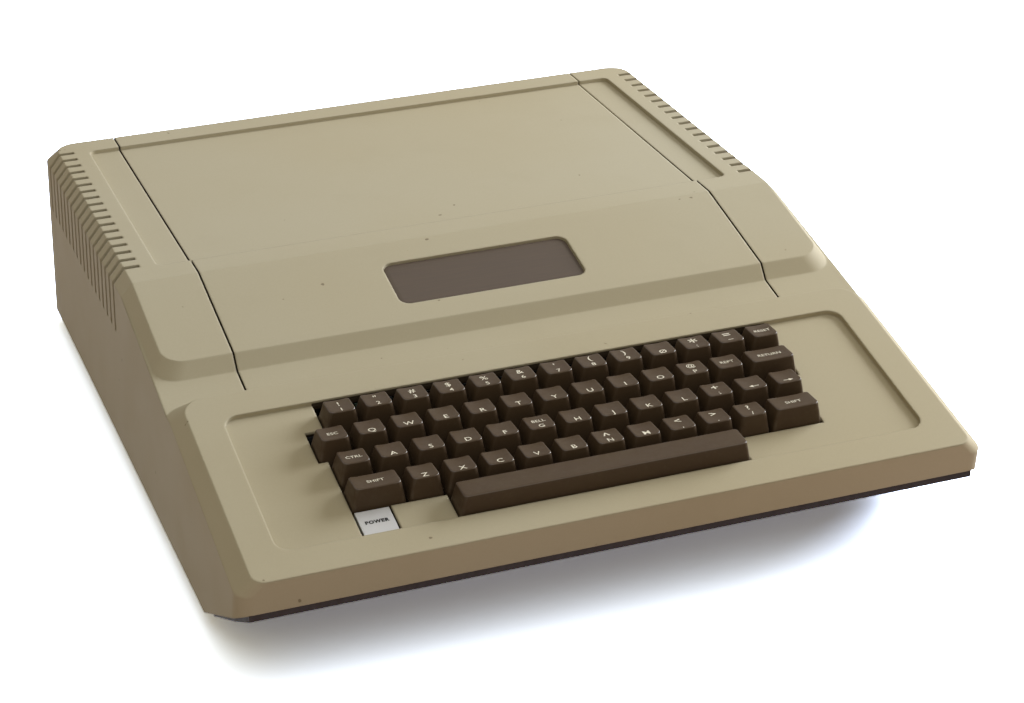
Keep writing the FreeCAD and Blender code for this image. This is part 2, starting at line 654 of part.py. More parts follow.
def make_case_and_lid():
    """The moulding, cut into the case and the lid that lifts off it."""
    wall = size("case_wall")
    gap = size("lid_gap") / 2
    cavity = case_body(wall, True)
    room = cavity.cut(recess_pads())
    shell = case_body(0, False).cut([room] + recess_tools())
    lid = shell.common(lid_region(size("lid_half_width") - gap, lid_front + gap,
                                  size("lid_lip_height") + gap))
    case = shell.cut([lid_region(size("lid_half_width") + gap, lid_front - gap,
                                 size("lid_lip_height") - gap)])
    case = case.cut([key_opening()] + back_openings())
    case = case.cut(vent_slots())

    # Ledges under the sides and the front of the lid
    seat = wall + size("recess_depth") + size("rest_gap")
    under_seat = case_body(seat + size("ledge_thickness"), True)
    layer = case_body(seat, True).cut(under_seat)
    inner = size("lid_half_width") - size("ledge_width")
    outer = size("lid_half_width") + wall
    back = back_y - size("bevel_run") - size("overrun")
    keep = Part.makeBox(2 * outer, back - lid_front, size("deck_height"),
                        Vector(-outer, lid_front, 0))
    ledges = [layer.common(bar).common(keep) for bar in edge_bars(inner, outer)]
    web_layer = cavity.cut(under_seat)
    web_inner = size("lid_half_width") + gap + size("rest_gap")
    webs = [web_layer.common(bar).common(keep) for bar in edge_bars(web_inner, outer)]

    # Bosses that carry the switch plate
    start = wall / 2
    if size("boss_offset") - size("boss_radius") < size("key_recess_half_width") + wall:
        start += size("key_recess_depth")
    bosses = []
    for side in (-1, 1):
        for s in (size("boss_margin"), size("key_recess_length") - size("boss_margin")):
            boss = Part.makeCylinder(size("boss_radius"), size("frame_depth") - start,
                                     Vector(side * size("boss_offset"), s, -size("frame_depth")))
            boss.Placement = key_frame.multiply(boss.Placement)
            bosses.append(boss)
    case = case.multiFuse(ledges + webs + bosses)

    # Ribs under the lid
    rib_layer = cavity.cut(case_body(wall + size("rib_depth"), True))
    half = size("rib_thickness") / 2
    rib_front = lid_front + size("ledge_width") + size("overrun")
    rib_back = back - size("ledge_width")
    across = inner - size("ledge_width")
    ribs = [Part.makeBox(2 * half, rib_back - rib_front, size("deck_height"),
                         Vector(share * across - half, rib_front, 0))
            for share in (-0.6, 0, 0.6)]
    ribs += [Part.makeBox(2 * across, 2 * half, size("deck_height"),
                          Vector(-across, rib_front + share * (rib_back - rib_front), 0))
             for share in (0.35, 0.7, 0.98)]
    lid = lid.multiFuse([rib_layer.common(rib) for rib in ribs])
    return case, lid


def keycap(units, near, length, front_taper, back_taper, side_taper, tilt, dish, stem_places):
    """Keycap with its stems, about the middle of its place on the crown."""
    half = units * size("key_pitch") / 2 - size("cap_side_gap")
    skirt = -size("cap_skirt")
    height = size("cap_height")
    corner = size("cap_corner")
    wall = size("cap_wall")
    far = near + length
    top_half = half - side_taper
    top_near = near + front_taper
    top_far = far - back_taper
    body = faceted_solid(cut_outline(skirt, half, near, far, corner),
                         cut_outline(height, top_half, top_near, top_far, corner))
    fall = (top_far - top_near) * math.tan(math.radians(tilt))
    if dish:
        radius = (top_half * top_half + dish * dish) / (2 * dish)
        reach = size("overrun")
        tool = Part.makeCylinder(radius, length + 2 * reach, Vector(0, 0, 0), Vector(0, 1, 0))
        tool.translate(Vector(0, -reach, radius))
        tool.rotate(Vector(0, 0, 0), Vector(1, 0, 0), -tilt)
        tool.translate(Vector(0, top_near, height - dish))
    else:
        reach = size("case_width")
        tool = Part.makeBox(reach, reach, height + reach, Vector(-reach / 2, -reach / 2, 0))
        tool.rotate(Vector(0, 0, 0), Vector(1, 0, 0), -tilt)
        tool.translate(Vector(0, top_near, height))
    roof = height - fall - dish - size("cap_roof")
    share = (roof - skirt) / (height - skirt)
    room = faceted_solid(
        plain_outline(skirt, half - wall, near + wall, far - wall),
        plain_outline(roof, half - side_taper * share - wall, near + front_taper * share + wall,
                      far - back_taper * share - wall))
    side = size("stem_side")
    bottom = -size("stem_depth")
    stems = [Part.makeBox(side, side, roof + wall - bottom,
                          Vector(x - side / 2, -side / 2, bottom)) for x in stem_places]
    return body.cut([tool, room]).multiFuse(stems)


def make_keys():
    """Every key at its place, each as a piece of its own."""
    half_length = size("cap_length") / 2
    shapes = {}
    for units in (1, 1.5):
        shapes[units] = keycap(units, -half_length, size("cap_length"), size("cap_front_taper"),
                               size("cap_back_taper"), size("cap_side_taper"),
                               size("cap_top_tilt"), size("cap_dish"), [0])
    for name, place, row, units in key_table():
        feature = solid_feature(name, shapes[units].copy())
        feature.Placement = key_frame.multiply(
            FreeCAD.Placement(Vector(key_x(place), row_s(row), 0), FreeCAD.Rotation()))
    guide = size("bar_guide_offset")
    near = size("bar_front_gap") - bar_s()
    bar = keycap(BAR_WIDTH, near, size("bar_length"), size("cap_front_taper"),
                 size("bar_back_taper"), size("cap_side_taper"), size("bar_top_tilt"), 0,
                 [-guide, 0, guide])
    feature = solid_feature("key_space", bar)
    feature.Placement = key_frame.multiply(
        FreeCAD.Placement(Vector(key_x(BAR_PLACE), bar_s(), 0), FreeCAD.Rotation()))


def bar_s():
    """Middle of the space bar up the slope."""
    return size("bar_front_gap") + size("bar_length") / 2


def make_keyboard_frame():
    """Switch plate with a housing under every stem and the encoder board."""
    top = -size("frame_depth")
    low = -size("housing_bottom")
    margin = size("frame_margin")
    half = size("frame_half_width")
    length = size("key_recess_length") + margin
    plate = Part.makeBox(2 * half, length, size("frame_thickness"),
                         Vector(-half, -margin, top - size("frame_thickness")))
    places = [(key_x(place), row_s(row)) for name, place, row, units in key_table()]
    guide = size("bar_guide_offset")
    places += [(key_x(BAR_PLACE) + x, bar_s()) for x in (-guide, 0, guide)]
    side = size("housing_side")
    bore = size("stem_side") + 2 * size("stem_clearance")
    bore_low = -size("stem_depth") - size("key_travel") - size("cap_wall")
    housings = []
    bores = []
    for x, s in places:
        housings.append(Part.makeBox(side, side, top - low,
                                     Vector(x - side / 2, s - side / 2, low)))
        bores.append(Part.makeBox(bore, bore, -bore_low,
                                  Vector(x - bore / 2, s - bore / 2, bore_low)))
    board_half = half - size("boss_radius") - size("housing_side")
    board = Part.makeBox(2 * board_half, length - 2 * margin, size("encoder_thickness"),
                         Vector(-board_half, margin, low - size("encoder_thickness")))
    frame = plate.multiFuse(housings + [board]).cut(bores)
    solid_feature("keyboard_frame", frame).Placement = key_frame


def origin_plane(body, role):
    """One of a body's own origin planes."""
    return next(item for item in body.Origin.OriginFeatures if item.Role == role)


def outline_sketch(body, role, name, offset, corners):
    """Closed outline on an origin plane; all places are formulas."""
    sketch = body.newObject("Sketcher::SketchObject", name)
    sketch.AttachmentSupport = [(origin_plane(body, role), "")]
    sketch.MapMode = "FlatFace"
    if offset:
        sketch.setExpression("AttachmentOffset.Base.z", offset)
    spots = []
    for x, y in corners:
        spots.append(Vector(formula_value(x), formula_value(y), 0))
    total = len(spots)
    for index in range(total):
        sketch.addGeometry(Part.LineSegment(spots[index], spots[(index + 1) % total]), False)
    for index in range(total):
        sketch.addConstraint(Sketcher.Constraint("Coincident", index, 2, (index + 1) % total, 1))
    for index, (x, y) in enumerate(corners):
        for kind, formula, value in (("DistanceX", x, spots[index].x),
                                     ("DistanceY", y, spots[index].y)):
            number = sketch.addConstraint(Sketcher.Constraint(kind, -1, 1, index, 1, value))
            sketch.setExpression("Constraints[%d]" % number, formula)
    return sketch


def round_sketch(body, role, name, offset, middle, radius):
    """Circle on a plane beside an origin plane; all sizes are formulas."""
    sketch = body.newObject("Sketcher::SketchObject", name)
    sketch.AttachmentSupport = [(origin_plane(body, role), "")]
    sketch.MapMode = "FlatFace"
    sketch.setExpression("AttachmentOffset.Base.z", offset)
    centre = Vector(formula_value(middle[0]), formula_value(middle[1]), 0)
    length = formula_value(radius)
    sketch.addGeometry(Part.Circle(centre, Vector(0, 0, 1), length), False)
    for kind, formula, value in (("DistanceX", middle[0], centre.x),
                                 ("DistanceY", middle[1], centre.y)):
        number = sketch.addConstraint(Sketcher.Constraint(kind, -1, 1, 0, 3, value))
        sketch.setExpression("Constraints[%d]" % number, formula)
    number = sketch.addConstraint(Sketcher.Constraint("Radius", 0, length))
    sketch.setExpression("Constraints[%d]" % number, radius)
    return sketch


def formula_value(formula):
    """Value of a formula over the size sheet."""
    value = sheet.evalExpression(formula)
    return float(getattr(value, "Value", value))


def rectangle(left, low, width, height):
    """Corners of a rectangle, as formulas."""
    right = "%s + %s" % (left, width)
    top = "%s + %s" % (low, height)
    return [(left, low), (right, low), (right, top), (left, top)]


def add_pad(body, sketch, name, length, is_reversed=False):
    """Pad of a sketch; its length is a formula."""
    pad = body.newObject("PartDesign::Pad", name)
    pad.Profile = sketch
    pad.setExpression("Length", length)
    pad.Reversed = is_reversed
    doc.recompute()
    return pad


def add_pocket(body, sketch, name, length, is_reversed=False):
    """Pocket of a sketch, which has to take something off the body."""
    before = body.Tip.Shape.Volume
    pocket = body.newObject("PartDesign::Pocket", name)
    pocket.Profile = sketch
    pocket.setExpression("Length", length)
    pocket.Reversed = is_reversed
    doc.recompute()
    if pocket.Shape.Volume >= before:
        raise RuntimeError("%s cuts nothing" % name)
    return pocket


def add_fillet(body, feature, name, radius, is_chosen):
    """Rounding of the straight edges whose ends pass a test."""
    names = []
    for index, edge in enumerate(feature.Shape.Edges, 1):
        ends = [vertex.Point for vertex in edge.Vertexes]
        if len(ends) == 2 and is_chosen(ends):
            names.append("Edge%d" % index)
    if not names:
        raise RuntimeError("%s finds no edge" % name)
    fillet = body.newObject("PartDesign::Fillet", name)
    fillet.Base = (feature, names)
    fillet.setExpression("Radius", radius)
    doc.recompute()
    return fillet


def add_row(body, feature, sketch, name, axis, pitch, copies):
    """Row of copies of a feature along an axis of its sketch."""
    pattern = body.newObject("PartDesign::LinearPattern", name)
    pattern.Originals = [feature] if not isinstance(feature, list) else feature
    pattern.Direction = (sketch, [axis])
    pattern.Mode = "Spacing"
    pattern.setExpression("Offset", pitch)
    pattern.setExpression("Occurrences", copies)
    body.Tip = pattern
    doc.recompute()
    return pattern


def make_base_plate():
    """Bent base plate with its posts, feet and loudspeaker."""
    body = doc.addObject("PartDesign::Body", "plate_body")
    thickness = "sizes.plate_thickness"
    chin_low = "sizes.chin_front_height - sizes.plate_thickness * sizes.chin_secant"
    turn = ("sizes.chin_back_y - sizes.plate_thickness * (sizes.chin_secant - 1)"
            " * sizes.chin_length / sizes.chin_rise")
    corners = [("sizes.plate_back_y", "sizes.rim_height"),
               ("sizes.chin_back_y", "sizes.rim_height"),
               ("sizes.chin_front_y", "sizes.chin_front_height"),
               ("sizes.chin_front_y", chin_low), (turn, "sizes.plate_low"),
               ("sizes.plate_back_y", "sizes.plate_low")]
    profile = outline_sketch(body, "YZ_Plane", "plate_profile", "-sizes.plate_half_width",
                             corners)
    add_pad(body, profile, "plate_pad", "2 * sizes.plate_half_width")
    front = "sizes.chin_front_y"
    for sign in ("", "-"):
        inner = sign + "(sizes.plate_half_width - sizes.plate_corner)"
        outer = sign + "sizes.plate_half_width"
        triangle = [(inner, front), (outer, front),
                    (outer, "sizes.chin_front_y + sizes.plate_corner_length")]
        sketch = outline_sketch(body, "XY_Plane", "corner_outline", "sizes.chin_front_height",
                                triangle)
        add_pocket(body, sketch, "corner_pocket", "sizes.chin_front_height")
    left = size("board_left_x") + 2 * size("post_radius")
    right = left + size("board_width") - 4 * size("post_radius")
    far = size("board_back_y") - 2 * size("post_radius")
    near = far - size("board_length") + 4 * size("post_radius")
    pieces = [body]
    for x in (left, right):
        for share in (0, 0.5, 1):
            post = doc.addObject("Part::Cylinder", "post")
            post.setExpression("Radius", "sizes.post_radius")
            post.setExpression("Height", "sizes.post_height + sizes.plate_thickness / 2")
            post.Placement.Base = Vector(x, near + share * (far - near), 0)
            post.setExpression("Placement.Base.z", "sizes.rim_height - sizes.plate_thickness / 2")
            pieces.append(post)
    plate = doc.addObject("Part::MultiFuse", "plate_with_posts")
    plate.Shapes = pieces
    parts = [plate]
    for side in (-1, 1):
        for end in ("sizes.back_y - sizes.foot_back_margin",
                    "sizes.chin_back_y + sizes.foot_front_margin"):
            foot = doc.addObject("Part::Cylinder", "foot")
            foot.setExpression("Radius", "sizes.foot_radius")
            foot.setExpression("Height", "sizes.plate_low")
            foot.setExpression("Placement.Base.x", "%d * sizes.foot_offset" % side)
            foot.setExpression("Placement.Base.y", end)
            parts.append(foot)
    speaker = doc.addObject("Part::MultiFuse", "speaker")
    basket = doc.addObject("Part::Cylinder", "speaker_basket")
    basket.setExpression("Radius", "sizes.speaker_radius")
    basket.setExpression("Height", "sizes.speaker_basket")
    magnet = doc.addObject("Part::Cylinder", "speaker_magnet")
    magnet.setExpression("Radius", "sizes.speaker_magnet_radius")
    magnet.setExpression("Height", "sizes.speaker_height")
    for piece in (basket, magnet):
        piece.setExpression("Placement.Base.x", "sizes.speaker_x")
        piece.setExpression("Placement.Base.y", "sizes.chin_back_y + sizes.speaker_radius")
        piece.setExpression("Placement.Base.z", "sizes.rim_height")
    speaker.Shapes = [basket, magnet]
    parts.append(speaker)
    base = doc.addObject("Part::Compound", "base_plate")
    base.Links = parts
    base.Label = "base_plate"


def make_main_board():
    """Main board with its expansion sockets, chips and jacks."""
    body = doc.addObject("PartDesign::Body", "main_board")
    near = "sizes.board_back_y - sizes.board_length"
    outline = outline_sketch(body, "XY_Plane", "board_outline", "sizes.board_low",
                             rectangle("sizes.board_left_x", near, "sizes.board_width",
                                       "sizes.board_length"))
    add_pad(body, outline, "board_pad", "sizes.board_thickness")
    top = "sizes.board_top"

    # Expansion sockets, side by side at the back
    first = "sizes.board_left_x + sizes.chip_margin"
    socket_low = "sizes.board_back_y - sizes.socket_length - sizes.jack_pitch * 2"
    sketch = outline_sketch(body, "XY_Plane", "socket_outline", top,
                            rectangle(first, socket_low, "sizes.socket_width",
                                      "sizes.socket_length"))
    pad = add_pad(body, sketch, "socket_pad", "sizes.socket_height")
    sockets = add_row(body, pad, sketch, "sockets", "H_Axis", "sizes.socket_pitch",
                      "sizes.socket_count")
    slit_left = first + " + (sizes.socket_width - sizes.socket_slit) / 2"
    slit_low = socket_low + " + sizes.socket_slit"
    slit = outline_sketch(body, "XY_Plane", "slit_outline", top + " + sizes.socket_height",
                          rectangle(slit_left, slit_low, "sizes.socket_slit",
                                    "sizes.socket_length - 2 * sizes.socket_slit"))
    pocket = add_pocket(body, slit, "slit_pocket", "sizes.socket_height * 0.7")
    add_row(body, pocket, slit, "slits", "H_Axis", "sizes.socket_pitch", "sizes.socket_count")

    # Rows of small chips in the middle
    for row in range(5):
        low = "%s - (%d + 1.4) * sizes.chip_row_pitch" % (socket_low, row)
        sketch = outline_sketch(body, "XY_Plane", "chip_outline", top,
                                rectangle(first, low, "sizes.chip_length", "sizes.chip_width"))
        pad = add_pad(body, sketch, "chip_pad", "sizes.chip_height")
        add_row(body, pad, sketch, "chips", "H_Axis", "sizes.chip_pitch", "sizes.socket_count - 1")

    # Processor and the large memory chips in front of them
    low = "%s - 8 * sizes.chip_row_pitch" % socket_low
    sketch = outline_sketch(body, "XY_Plane", "large_chip_outline", top,
                            rectangle(first, low, "sizes.large_chip_length",
                                      "sizes.large_chip_width"))
    pad = add_pad(body, sketch, "large_chip_pad", "sizes.chip_height")
    add_row(body, pad, sketch, "large_chips", "H_Axis",
            "sizes.large_chip_length + sizes.chip_width", "3")

    # Jacks for picture and sound at the back right corner
    block_left = ("sizes.board_left_x + sizes.board_width - 3 * sizes.jack_pitch"
                  " - sizes.jack_block / 2")
    block = outline_sketch(body, "XY_Plane", "jack_outline", top,
                           rectangle(block_left, "sizes.board_back_y - sizes.jack_block",
                                     "sizes.jack_block", "sizes.jack_block"))
    pad = add_pad(body, block, "jack_pad", "sizes.jack_block")
    middle = (block_left + " + sizes.jack_block / 2", top + " + sizes.jack_block / 2")
    barrel = round_sketch(body, "XZ_Plane", "barrel_outline", "-sizes.board_back_y", middle,
                          "sizes.jack_radius")
    stub = add_pad(body, barrel, "jack_barrel", "sizes.jack_length", True)
    add_row(body, [pad, stub], barrel, "jacks", "H_Axis", "sizes.jack_pitch", "3")
    bore = round_sketch(body, "XZ_Plane", "bore_outline",
                        "-sizes.board_back_y - sizes.jack_length", middle, "sizes.jack_bore")
    pocket = add_pocket(body, bore, "jack_hole", "sizes.jack_length", True)
    add_row(body, pocket, bore, "jack_holes", "H_Axis", "sizes.jack_pitch", "3")
    return body


def make_power_supply():
    """Power supply with its inlet and the opening for the rocker."""
    body = doc.addObject("PartDesign::Body", "power_supply")
    outline = outline_sketch(body, "XY_Plane", "supply_outline", "sizes.rim_height",
                             rectangle("sizes.supply_left_x",
                                       "sizes.supply_back_y - sizes.supply_length",
                                       "sizes.supply_width", "sizes.supply_length"))
    pad = add_pad(body, outline, "supply_pad", "sizes.supply_height")
    roof = size("rim_height") + size("supply_height") - size("rest_gap")
    add_fillet(body, pad, "supply_edges", "sizes.supply_edge",
               lambda ends: all(end.z > roof for end in ends)
               and abs(ends[0].x - ends[1].x) < size("rest_gap"))

    inlet = outline_sketch(body, "XZ_Plane", "inlet_outline", "-sizes.supply_back_y",
                           rectangle("sizes.inlet_x - sizes.inlet_width / 2",
                                     "sizes.inlet_z - sizes.inlet_height / 2",
                                     "sizes.inlet_width", "sizes.inlet_height"))
    add_pocket(body, inlet, "inlet_pocket", "sizes.inlet_depth", True)
    for across_share, up_share in ((-0.25, -0.12), (0.25, -0.12), (0, 0.14)):
        left = "sizes.inlet_x + sizes.inlet_width * %s - sizes.pin_width / 2" % across_share
        low = "sizes.inlet_z + sizes.inlet_height * %s" % up_share
        pin = outline_sketch(body, "XZ_Plane", "pin_outline",
                             "sizes.inlet_depth - sizes.supply_back_y",
                             rectangle(left, low, "sizes.pin_width", "2 * sizes.pin_width"))
        add_pad(body, pin, "inlet_pin", "sizes.inlet_depth * 0.7", True)
    rocker = outline_sketch(body, "XZ_Plane", "rocker_outline", "-sizes.supply_back_y",
                            rectangle("sizes.rocker_x - sizes.rocker_width / 2 - sizes.rest_gap",
                                      "sizes.inlet_z - sizes.rocker_height / 2 - sizes.rocker_gap",
                                      "sizes.rocker_width + 2 * sizes.rest_gap",
                                      "sizes.rocker_height + 2 * sizes.rocker_gap"))
    add_pocket(body, rocker, "rocker_pocket", "sizes.rocker_depth + 2 * sizes.rocker_gap", True)
    return body


def make_power_switch():
    """Rocker of the power switch, tipped to its off position."""
    body = doc.addObject("PartDesign::Body", "power_switch")
    inner = "sizes.rocker_height / 3"
    outer_y = "sizes.rocker_face_y + sizes.rocker_rise"
    deep_y = "sizes.supply_back_y - sizes.rocker_depth"
    corners = [("sizes.rocker_face_y", "sizes.inlet_z"),
               (outer_y, "sizes.inlet_z + sizes.rocker_height / 2"),
               (deep_y, "sizes.inlet_z + " + inner), (deep_y, "sizes.inlet_z - " + inner),
               (outer_y, "sizes.inlet_z - sizes.rocker_height / 2")]
    profile = outline_sketch(body, "YZ_Plane", "rocker_profile",
                             "sizes.rocker_x - sizes.rocker_width / 2", corners)
    add_pad(body, profile, "rocker_pad", "sizes.rocker_width")
    pivot = Vector(0, size("rocker_pivot_y"), size("inlet_z"))
    body.Placement = FreeCAD.Placement(Vector(0, 0, 0),
                                       FreeCAD.Rotation(Vector(1, 0, 0), size("rocker_angle")),
                                       pivot)
    return body


def make_power_lamp():
    """White cap of the power lamp on its holder."""
    body = doc.addObject("PartDesign::Body", "power_lamp")
    left = key_x(-0.75) + (size("lamp_slot_width") - size("lamp_width")) / 2
    body.Placement = key_frame.multiply(
        FreeCAD.Placement(Vector(left, 0, 0), FreeCAD.Rotation()))
    front = "sizes.rest_gap / 2"
    cap = outline_sketch(body, "XY_Plane", "lamp_outline",
                         "-sizes.key_recess_depth - sizes.lamp_cap_depth",
                         rectangle("0", front, "sizes.lamp_width", "sizes.lamp_length"))
    add_pad(body, cap, "lamp_cap", "sizes.lamp_cap_depth")
    inset = "sizes.lamp_base_inset"
    holder = outline_sketch(body, "XY_Plane", "holder_outline", "-sizes.frame_depth",
                            rectangle(inset, front + " + " + inset,
                                      "sizes.lamp_width - 2 * " + inset,
                                      "sizes.lamp_length - 2 * " + inset))
    add_pad(body, holder, "lamp_holder",
            "sizes.frame_depth - sizes.key_recess_depth - sizes.lamp_cap_depth")
    return body


def export_pieces():
    """Checks every object and writes one file for each piece."""
    doc.recompute()
    for item in doc.Objects:
        if "Invalid" in item.State or "Error" in item.State:
            raise RuntimeError("%s did not build" % item.Name)
    names = ["case_shell", "lid", "base_plate", "keyboard_frame", "power_lamp", "main_board",
             "power_supply", "power_switch", "key_space"]
    names += [entry[0] for entry in key_table()]
    os.makedirs("parts", exist_ok=True)
    for name in names:
        shape = doc.getObjectsByLabel(name)[0].Shape
        if shape.isNull() or not shape.isValid() or not shape.Solids:
            raise RuntimeError("%s is not a sound solid" % name)
        shape.exportStep("parts/%s.step" % name)
        print(name, len(shape.Solids), round(shape.Volume))


case, lid = make_case_and_lid()
solid_feature("case_shell", case)
solid_feature("lid", lid)
make_keys()
make_keyboard_frame()
make_base_plate()
make_main_board()
make_power_supply()
make_power_switch()
make_power_lamp()
export_pieces()
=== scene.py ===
"""Looks of the home computer, laid out as an add-on and run as a script."""
import json
import math

import bmesh
import bpy
from bpy.props import FloatProperty, FloatVectorProperty, PointerProperty
from mathutils import Matrix, Vector

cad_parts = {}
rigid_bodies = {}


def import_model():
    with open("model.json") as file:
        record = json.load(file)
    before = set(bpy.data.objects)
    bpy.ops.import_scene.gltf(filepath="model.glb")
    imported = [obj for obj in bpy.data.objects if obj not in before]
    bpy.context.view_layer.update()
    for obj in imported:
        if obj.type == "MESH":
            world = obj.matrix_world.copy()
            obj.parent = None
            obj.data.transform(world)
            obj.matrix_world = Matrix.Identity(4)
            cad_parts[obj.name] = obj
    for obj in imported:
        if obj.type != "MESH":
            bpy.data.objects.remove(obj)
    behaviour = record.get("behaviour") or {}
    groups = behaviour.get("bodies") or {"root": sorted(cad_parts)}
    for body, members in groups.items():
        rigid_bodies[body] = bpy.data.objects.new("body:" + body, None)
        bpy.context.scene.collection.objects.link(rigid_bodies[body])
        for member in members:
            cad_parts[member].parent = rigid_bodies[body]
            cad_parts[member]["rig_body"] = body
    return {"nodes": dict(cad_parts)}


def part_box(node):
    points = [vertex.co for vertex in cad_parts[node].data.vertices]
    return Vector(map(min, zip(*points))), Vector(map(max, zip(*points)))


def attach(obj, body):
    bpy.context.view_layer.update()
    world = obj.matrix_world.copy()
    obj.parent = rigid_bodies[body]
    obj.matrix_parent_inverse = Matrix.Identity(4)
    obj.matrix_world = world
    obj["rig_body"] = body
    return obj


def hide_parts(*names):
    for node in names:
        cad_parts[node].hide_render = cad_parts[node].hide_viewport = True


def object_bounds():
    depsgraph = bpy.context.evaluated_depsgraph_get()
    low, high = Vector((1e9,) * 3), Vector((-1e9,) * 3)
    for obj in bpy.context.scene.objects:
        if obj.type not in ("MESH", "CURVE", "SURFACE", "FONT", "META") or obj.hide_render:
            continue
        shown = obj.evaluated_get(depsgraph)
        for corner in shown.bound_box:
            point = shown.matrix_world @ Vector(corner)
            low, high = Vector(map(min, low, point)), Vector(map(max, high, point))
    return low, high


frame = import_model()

bl_info = {
    "name": "Home Computer",
    "version": (1, 0, 0),
    "blender": (4, 5, 0),
    "location": "View3D > Sidebar > Computer",
    "description": "Dresses the packed home computer with its finishes, keycaps and legends",
    "category": "Object",
}

CAD_LOW, CAD_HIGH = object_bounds()

# Slope of the keyboard and where its keys' opening starts
CROWN_ANGLE = math.radians(12.16)
CROWN_FRONT = Vector((0, CAD_LOW.y, 0.06427))
KEYS_FROM_FRONT = 0.01855

# Slope under the deck, and the bend between them
SLOPE_ANGLE = math.radians(12.95)
BEND_Y = 0.0074
DECK_TOP = CAD_HIGH.z

# Painted shade on the walls of the keys' opening: reach across and up the slope, and depth under
# the crown
OPENING_REACH = 0.160
OPENING_NEAR = -0.0014
OPENING_FAR = 0.1044
BACK_WALL_NEAR = 0.1031
DARK_BELOW = -0.0042
DARK_BELOW_WALL = -0.0014
ROW_MARGIN = 0.001

# Painted shade in the seams at the lid's sides; on the right one it fades out between the bend and
# a line behind
SEAM_WIDTH = 0.0009
SEAM_BACK_MARGIN = 0.003
SEAM_SHADE_END_Y = 0.14

# Distance from the middle where the case's side walls start, which gather little grime
SIDE_WALL_X = 0.186

# Places of the key rows up the slope, from the front edge of the opening
FRONT_ROW_DEPTH = 0.0185
ROW_PITCH = 0.0198

# Form of a keycap, as the CAD has it
CAP_SKIRT = -0.008
CAP_HEIGHT = 0.0092
CAP_LENGTH = 0.0168
CAP_FRONT_TAPER = 0.0023
CAP_BACK_TAPER = 0.0008
CAP_SIDE_TAPER = 0.0021
CAP_UPRIGHT_SHARE = 0.3
CAP_TILT = math.radians(13.0)
CAP_DISH = 0.00055
CAP_WALL = 0.0013
CAP_ROOF = 0.0022
CAP_ANGLE = math.radians(50)
WIDE_HALF = 0.03
BAR_NEAR = 0.0005
BAR_LENGTH = 0.0168
BAR_BACK_TAPER = 0.0002
BAR_TILT = math.radians(8.7)
STEM_SIDE = 0.0056
STEM_CORNER = 0.0004
STEM_LOW = -0.0174
BAR_GUIDE_X = 0.05

# Main board: its top, its back edge and its chips, as the CAD has them
BOARD_TOP = 0.0196
BOARD_BACK = 0.226
CHIP_LEFT = -0.042
CHIP_ROWS = 5
CHIPS_IN_ROW = 7
CHIP_PITCH = 0.024
CHIP_SIZE = (0.020, 0.0076)
CHIP_ROW_PITCH = 0.015
FIRST_CHIP_ROW = 1.4
SOCKET_LOW = 0.122
LARGE_CHIPS = 3
LARGE_CHIP_ROW = 8
LARGE_CHIP_PITCH = 0.0596
LARGE_CHIP_SIZE = (0.052, 0.0145)
LEG_PITCH = 0.00254
LEG_SIZE = (0.0005, 0.0006, 0.0024)
LEG_LIFT = 0.0001

# Power supply: its inlet and rocker from its low corner, and the inlet's pins
PORT_HEIGHT = 0.034
INLET_X = 0.030
INLET_REACH = (0.0156, 0.0162, 0.0118)
ROCKER_X = 0.066
ROCKER_REACH = (0.0085, 0.0120, 0.0122)
PINS = ((-0.006875, -0.0002), (0.006875, -0.0002), (0.0, 0.0050))
PIN_REACH = (0.0013, 0.0142, 0.0024)

# Nameplate on the slope: outline from the bend, and height and inset of its rings
PLATE_HALF = 0.0523
PLATE_NEAR = -0.0560
PLATE_FAR = -0.0192
PLATE_CORNER = 0.0055
PLATE_RINGS = ((-0.0018, 0.0), (-0.0014, 0.0), (-0.0013, 0.0002), (-0.0013, 0.0030))
PLATE_ANGLE = math.radians(40)

# Lamp's word: place up the slope and out of it, height and weight of its letters
LAMP_WORD_PLACE = (0.0098, -0.00246)
LAMP_WORD_SIZE = 0.0022
LAMP_WORD_WEIGHT = 0.09

# Legends: height over the tops, distance from the tops' near edge, share of their depth
LEGEND_LIFT = 0.00004
LEGEND_MARGIN = 0.0013
UPPER_LEGEND_SHARE = 0.5
WORD_SHARE = 0.38

# Letters: added weight, text size over the capitals' height, and sizes on keys with two legends
LEGEND_WEIGHT = 0.008
TEXT_OVER_CAPITAL = 1.37
UPPER_LETTER = 1.12
UPPER_WORD = 1.02
LOWER_LETTER = 0.88
ARROW = 1.4

# Floor and lamps of the stage
FLOOR_REACH = 6.0
FLOOR_SEEN = (3.4, 3.8, 4.75, 1.0)
FLOOR_GLOW = 0.02
AMBIENT_COLOUR = (1.0, 0.85, 0.53, 1.0)
WHITE = (1.0, 1.0, 1.0, 1.0)
WINDOW_COLOUR = (0.91, 0.95, 1.0)
WINDOW_SIZE = 1.3
WINDOW_PLACE = (1.98, 0.30, 0.95)
CEILING_COLOUR = (0.94, 0.98, 1.0)
CEILING_SPREAD = math.radians(60)
CEILING_PLACE = (0.1, -0.45, 1.0)

# Camera at the photograph's place
CAMERA_PLACE = (-0.39681, -1.20618, 0.64857)
CAMERA_RIGHT = (0.94016042, -0.33999056, -0.02247111)
CAMERA_UP = (0.16530328, 0.39745827, 0.9026083)
CAMERA_BACK = (-0.29794832, -0.85231059, 0.42987609)
CAMERA_SENSOR = 36.0
CAMERA_LENS = 88.32

